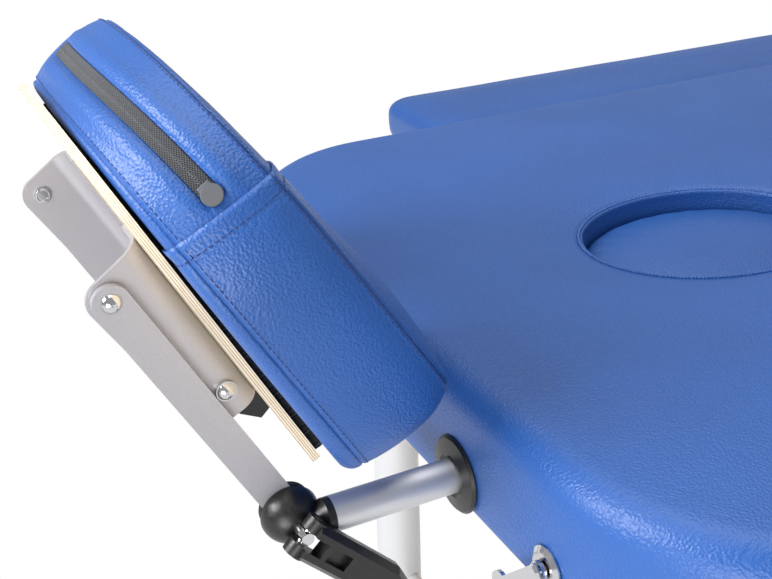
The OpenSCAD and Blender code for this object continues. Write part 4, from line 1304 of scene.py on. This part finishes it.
def refine(rows: np.ndarray, along: int, per_knot: int,
           sewn: tuple[int, ...]) -> tuple[np.ndarray, list[float]]:
    """Resample a grid of sections, densely beside its seams.

    Args:
        rows: sections of equally many points.
        along: new sections for each old one.
        per_knot: points of a section between two knots.
        sewn: numbers of the knots that are seams.

    Returns:
        The finer grid, in which every knot keeps a point, and the old place of each of its columns.
    """
    count, around = rows.shape[:2]
    extra = (0.12, 0.25, 0.4, 0.6, 0.75, 0.88)
    places: list[float] = []
    near = {(n * per_knot + d) % around for n in sewn for d in (-2, -1, 0, 1)}
    for i in range(around):
        places.append(float(i))
        places.extend(i + e for e in (extra if i in near else (0.5,)))
    cross = []
    for p in places:
        i, t = int(p), p - int(p)
        cross.append(cubic(rows[:, (i - 1) % around], rows[:, i % around], rows[:, (i + 1) % around],
                           rows[:, (i + 2) % around], t))
    wide = np.stack(cross, axis=1)
    out = []
    for k in range(count - 1):
        a, d = max(k - 1, 0), min(k + 2, count - 1)
        for j in range(along):
            out.append(cubic(wide[a], wide[k], wide[k + 1], wide[d], j / along))
    out.append(wide[-1])
    return np.array(out), places


class GridSkin:
    """A skin of closed sections in headrest millimetres, with normals and rulers on it."""

    def __init__(self, rows: np.ndarray, places: list[float]) -> None:
        """Measure the skin.

        Args:
            rows: sections of equally many points.
            places: place of each column in the coarse section.
        """
        self.rows = rows
        self.count, self.around = rows.shape[:2]
        self.places = places
        du = np.gradient(rows, axis=0)
        dv = (np.roll(rows, -1, axis=1) - np.roll(rows, 1, axis=1)) / 2
        n = np.cross(dv, du)
        n /= np.linalg.norm(n, axis=-1, keepdims=True) + 1e-9
        centre = rows.mean(axis=1, keepdims=True)
        if np.sum(n * (rows - centre)) < 0:
            n = -n
        self.normals = n
        step = np.linalg.norm(np.roll(rows, -1, axis=1) - rows, axis=-1)
        self.girth = np.concatenate([np.zeros((self.count, 1)), np.cumsum(step, axis=1)], axis=1)
        middle = rows.mean(axis=1)
        self.along = np.concatenate([[0], np.cumsum(np.linalg.norm(np.diff(middle, axis=0), axis=1))])

    def knot_index(self, number: int) -> int:
        """Column of a point of the coarse section."""
        return self.places.index(float(number))

    def knot(self, number: int) -> float:
        """Mean girth length at a point of the coarse section."""
        return float(self.girth[:, self.knot_index(number)].mean())

    def lengths_from(self, place: float) -> np.ndarray:
        """Girth distance of every point from the column whose mean girth is place."""
        column = int(np.argmin(np.abs(self.girth[:, :-1].mean(axis=0) - place)))
        d = self.girth[:, :-1] - self.girth[:, column:column + 1]
        total = self.girth[:, -1:]
        return (d + total / 2) % total - total / 2

    def sweep_row(self, share: float, cushion: HorseshoeCushion) -> float:
        """Row number at a share of the sweep between the limb ends."""
        ends = (self.count - 1) / 2 - cushion.sweep_count
        even = cushion.even_shares()
        return ends + 2 * float(np.interp(share, even, np.arange(len(even))))

    def trace(self, body: np.ndarray, place: float) -> tuple[np.ndarray, np.ndarray]:
        """Line along the sweep at a mean girth place, and the normals on it."""
        mean = self.girth.mean(axis=0)
        column = int(np.clip(np.searchsorted(mean, place) - 1, 0, self.around - 1))
        base = self.girth[:, column] + (place - mean[column])
        line, up = [], []
        for k in range(self.count):
            g = self.girth[k]
            i = int(np.clip(np.searchsorted(g, base[k]) - 1, 0, self.around - 1))
            t = (base[k] - g[i]) / max(g[i + 1] - g[i], 1e-6)
            j = (i + 1) % self.around
            line.append(body[k, i] * (1 - t) + body[k, j] * t)
            up.append(self.normals[k, i] * (1 - t) + self.normals[k, j] * t)
        return np.array(line), np.array(up)

    @staticmethod
    def piece(name: str, body: np.ndarray, cap_start: bool = True, cap_end: bool = True) -> bpy.types.Object:
        """Piece from sections, closed at the ends that are asked for.

        Args:
            name: the piece's name.
            body: the sections.
            cap_start: whether the first section is closed.
            cap_end: whether the last section is closed.

        Returns:
            The new object, its faces outwards.
        """
        count, around = body.shape[:2]
        points = list(HEADREST.points(body).reshape(-1, 3))
        faces = ring_faces(count, around)
        for wanted, row in ((cap_start, 0), (cap_end, count - 1)):
            if wanted:
                points.append(HEADREST.points(body[row].mean(axis=0)))
                tip = len(points) - 1
                faces += [(row * around + i, row * around + (i + 1) % around, tip) for i in range(around)]
        obj = mesh_piece(name, points, faces)
        outward(obj)
        return obj


def seam_profile(skin: GridSkin, seams: list[float]) -> np.ndarray:
    """Height of the sewn edges over a skin: a groove between two soft ridges, flat at the lower seams."""
    out = np.zeros((skin.count, skin.around))
    for number, seam in enumerate(seams):
        v = skin.lengths_from(seam)
        deep, high = (1.5, 0.55) if number in (1, 2) else (0.7, 0.12)
        out += -deep * np.exp(-(v / 0.8) ** 2) + high * np.exp(-((np.abs(v) - 2.2) / 1.4) ** 2)
    ends = np.minimum(np.arange(skin.count), np.arange(skin.count)[::-1])
    return out * np.clip(ends / 8.0, 0.25, 1.0)[:, None]


def simulate(obj: bpy.types.Object, pinned: str, pressure: float, cap: float) -> np.ndarray:
    """Fill a closed skin like a pillow and read where its points go.

    Args:
        obj: the closed skin.
        pinned: vertex group that stays.
        pressure: filling pressure of the cloth.
        cap: longest way that a point may go, in metres.

    Returns:
        The moved points in the row frame.
    """
    rest = np.array([v.co[:] for v in obj.data.vertices])
    cloth = obj.modifiers.new("filling", "CLOTH")
    cloth.settings.use_pressure = True
    cloth.settings.uniform_pressure_force = pressure
    cloth.settings.effector_weights.gravity = 0.0
    cloth.settings.vertex_group_mass = pinned
    cloth.settings.pin_stiffness = 1.0
    cloth.settings.quality = 5
    scene = bpy.context.scene
    cloth.point_cache.frame_start, cloth.point_cache.frame_end = 1, 20
    for number in range(1, 21):
        scene.frame_set(number)
    graph = bpy.context.evaluated_depsgraph_get()
    mesh = obj.evaluated_get(graph).to_mesh()
    moved = np.array([v.co[:] for v in mesh.vertices])
    scene.frame_set(1)
    step = moved - rest
    length = np.linalg.norm(step, axis=1, keepdims=True)
    return rest + step * np.minimum(1.0, cap / np.maximum(length, 1e-9))


def repeat_blocks(name: str, line: np.ndarray, above: np.ndarray, pitch: float,
                  size: tuple[float, float, float], material: bpy.types.Material, body: str) -> None:
    """Small rounded blocks at an even pitch along a line, such as zipper coils or stitches.

    Args:
        name: the piece's name.
        line: the line's points, in metres.
        above: a point over each of them, which shows the outward side.
        pitch: distance between blocks, in millimetres.
        size: half length along, half width and half height of a block, in millimetres.
        material: its finish.
        body: the moving group that carries it.
    """
    steps = np.linalg.norm(np.diff(line, axis=0), axis=1)
    run = np.concatenate([[0], np.cumsum(steps)])
    places = np.arange(pitch * MM / 2, run[-1], pitch * MM)
    points, faces = [], []
    for place in places:
        i = int(np.clip(np.searchsorted(run, place) - 1, 0, len(steps) - 1))
        t = (place - run[i]) / max(steps[i], 1e-9)
        centre = line[i] * (1 - t) + line[i + 1] * t
        tangent = (line[i + 1] - line[i]) / max(steps[i], 1e-9)
        up = (above[i] * (1 - t) + above[i + 1] * t) - centre
        up = up - tangent * float(np.dot(up, tangent))
        up /= np.linalg.norm(up) + 1e-12
        side = np.cross(up, tangent)
        base = len(points)
        for along, wide in ((-1, 0.45), (-0.6, 1), (0.6, 1), (1, 0.45)):
            for a in range(6):
                turn = math.pi / 3 * a
                points.append(centre + tangent * size[0] * MM * along
                              + side * size[1] * MM * wide * math.cos(turn)
                              + up * size[2] * MM * wide * math.sin(turn))
        for k in range(3):
            for a in range(6):
                b = (a + 1) % 6
                faces.append((base + 6 * k + a, base + 6 * k + b, base + 6 * k + 6 + b, base + 6 * k + 6 + a))
        faces.append(tuple(base + a for a in range(5, -1, -1)))
        faces.append(tuple(base + 18 + a for a in range(6)))
    obj = mesh_piece(name, points, faces)
    outward(obj)
    finish_piece(obj, material, body)


def stitches(name: str, line: np.ndarray, up: np.ndarray, thread: bpy.types.Material,
             closed: bool = False) -> None:
    """Sew lockstitches along a line.

    Args:
        name: the piece's name.
        line: the line, in headrest millimetres.
        up: outward direction at each of its points.
        thread: the thread's finish.
        closed: whether the line returns to its start.
    """
    if closed:
        line, up = np.vstack([line, line[:1]]), np.vstack([up, up[:1]])
    repeat_blocks(name, HEADREST.points(line), HEADREST.points(line + up), 3.6, (1.25, 0.32, 0.28), thread,
                  Body.PLATFORM.value)


# Camera, lights and floor


@dataclass(frozen=True)
class Studio:
    """Photographer's set-up: camera place in table millimetres and soft lights."""

    camera_at: tuple[float, float, float] = (-282.6, -611.5, 1036.1)
    looks_along: tuple[float, float, float] = (0.38506, 0.81493, -0.43315)
    roll_deg: float = -2.02
    focal_px: float = 1137.1
    image_px: float = 772.0
    sensor_mm: float = 36.0

    def camera(self) -> None:
        """Create the camera at the photograph's viewing angle."""
        data = bpy.data.cameras.new("camera")
        data.sensor_width = self.sensor_mm
        data.lens = self.focal_px / self.image_px * self.sensor_mm
        data.clip_start = 0.01
        data.clip_end = 50.0
        obj = bpy.data.objects.new("camera", data)
        obj.location = table_point(*self.camera_at)
        level = Vector(self.looks_along).to_track_quat("-Z", "Y")
        obj.rotation_euler = (level @ Quaternion((0.0, 0.0, 1.0), math.radians(self.roll_deg))).to_euler()
        bpy.context.scene.collection.objects.link(obj)
        bpy.context.scene.camera = obj

    def softbox(self, name: str, at: tuple[float, float, float], target: tuple[float, float, float],
                size: float, power: float) -> None:
        """Add one square area light.

        Args:
            name: the lamp's name.
            at: its place, in row metres.
            target: what it points at.
            size: its side, in metres.
            power: its power, in watts.
        """
        data = bpy.data.lights.new(name, "AREA")
        data.shape = "SQUARE"
        data.size = size
        data.energy = power
        obj = bpy.data.objects.new(name, data)
        obj.location = at
        obj.rotation_euler = (Vector(target) - Vector(at)).to_track_quat("-Z", "Y").to_euler()
        bpy.context.scene.collection.objects.link(obj)

    def light(self) -> None:
        """Small key high beyond the head end, a low light left of the camera and a wide fill from above."""
        wall = (-1.0, -0.1, 0.87)
        self.softbox("key_softbox", (-2.1, 0.1, 1.55), wall, 0.75, 28.0)
        self.softbox("low_softbox", (-2.2, -1.7, 0.45), (-0.8, 0.0, 0.6), 1.2, 34.0)
        self.softbox("top_softbox", (-0.3, 0.4, 3.4), (-0.3, 0.0, 0.7), 2.6, 52.0)
        world = bpy.data.worlds.new("studio_white")
        bpy.context.scene.world = world
        world.use_nodes = True
        tree = world.node_tree
        background = tree.nodes["Background"]
        background.inputs["Color"].default_value = (1.0, 1.0, 1.0, 1.0)
        path = add_node(world, "LightPath").outputs
        seen = calc(world, "MAXIMUM", path["Is Camera Ray"], path["Is Transmission Ray"])
        tree.links.new(span(world, seen, (0.0, 1.0), (0.42, 1.0)), background.inputs["Strength"])

    def floor(self, finishes: Finishes) -> None:
        """Pale floor under the feet."""
        deselect()
        bpy.ops.mesh.primitive_plane_add(size=14.0, location=(0, 0, 0))
        obj = bpy.context.object
        obj.name = "studio_floor"
        obj.data.materials.append(finishes.floor)


def dress_nodes(finishes: Finishes) -> None:
    """Give every node of the frame that stays in view its material.

    Args:
        finishes: the table's materials.
    """
    sides, ends = ("near", "far"), ("head", "foot")
    corners = [f"{end}_{side}" for end in ends for side in sides]
    wear = {
        finishes.deck_ply: [f"{end}_deck" for end in ends],
        finishes.plug_ply: ["face_plug_board"],
        finishes.rest_ply: ["headrest_board"],
        finishes.arm_ply: [f"armrest_board_{side}" for side in sides],
        finishes.aluminium: [f"{end}_{part}" for end in ends
                             for part in ("side_rails", "end_rail", "hinge_rail")]
        + ["headrest_sockets", "armrest_sockets", "headrest_tubes"]
        + [f"armrest_rods_{side}" for side in sides] + [f"lower_leg_{corner}" for corner in corners],
        finishes.leg_paint: [f"{end}_leg_{part}" for end in ends for part in ("tubes", "crossbar")],
        finishes.zinc: [f"{end}_{part}" for end in ends for part in ("leg_brackets", "hinge_leaves")],
        finishes.silver_coat: ["headrest_arms", "platform_brackets"],
        finishes.chrome: ["latch_rosettes", "latch_studs", "platform_rivets", "clamp_bolts"]
        + [f"latch_hook_{side}" for side in sides],
        finishes.nylon: ["headrest_grommets", "armrest_grommets", "headrest_hubs"]
        + [f"cam_lever_{side}" for side in sides] + [f"collar_{corner}" for corner in corners],
        finishes.rubber: ["clamp_washers"] + [f"rubber_foot_{corner}" for corner in corners],
        finishes.leather: ["head_pad", "foot_pad", "face_plug_cushion", "headrest_cushion"]
        + [f"armrest_pad_{side}" for side in sides],
        finishes.pile: ["hook_and_loop"],
        finishes.tape: ["zipper_tape"],
        finishes.tab: ["zipper_slider"],
    }
    for material, names in wear.items():
        for name in names:
            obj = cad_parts[name]
            if not obj.material_slots:
                obj.data.materials.append(material)
            for place in obj.material_slots:
                place.material = material


def main() -> None:
    """Build the camera, the finishes, every piece and the studio."""
    bpy.context.scene.view_settings.view_transform = "Standard"
    studio = Studio()
    studio.camera()
    finishes = Finishes()
    dress_nodes(finishes)
    TablePad("head_pad_cover", False, True, Body.HEAD.value).build(finishes)
    TablePad("foot_pad_cover", True, False, Body.FOOT.value).build(finishes)
    FaceHoleWelt().build(finishes)
    PlugCushion().build(finishes)
    ArmrestPad("near", -1.0).build(finishes)
    ArmrestPad("far", 1.0).build(finishes)
    HookAndLoopPile().build(finishes)
    ScrewFace().build(finishes)
    HorseshoeCushion().build(finishes)
    studio.light()
    studio.floor(finishes)
    deselect()


if __name__ == "__main__":
    main()
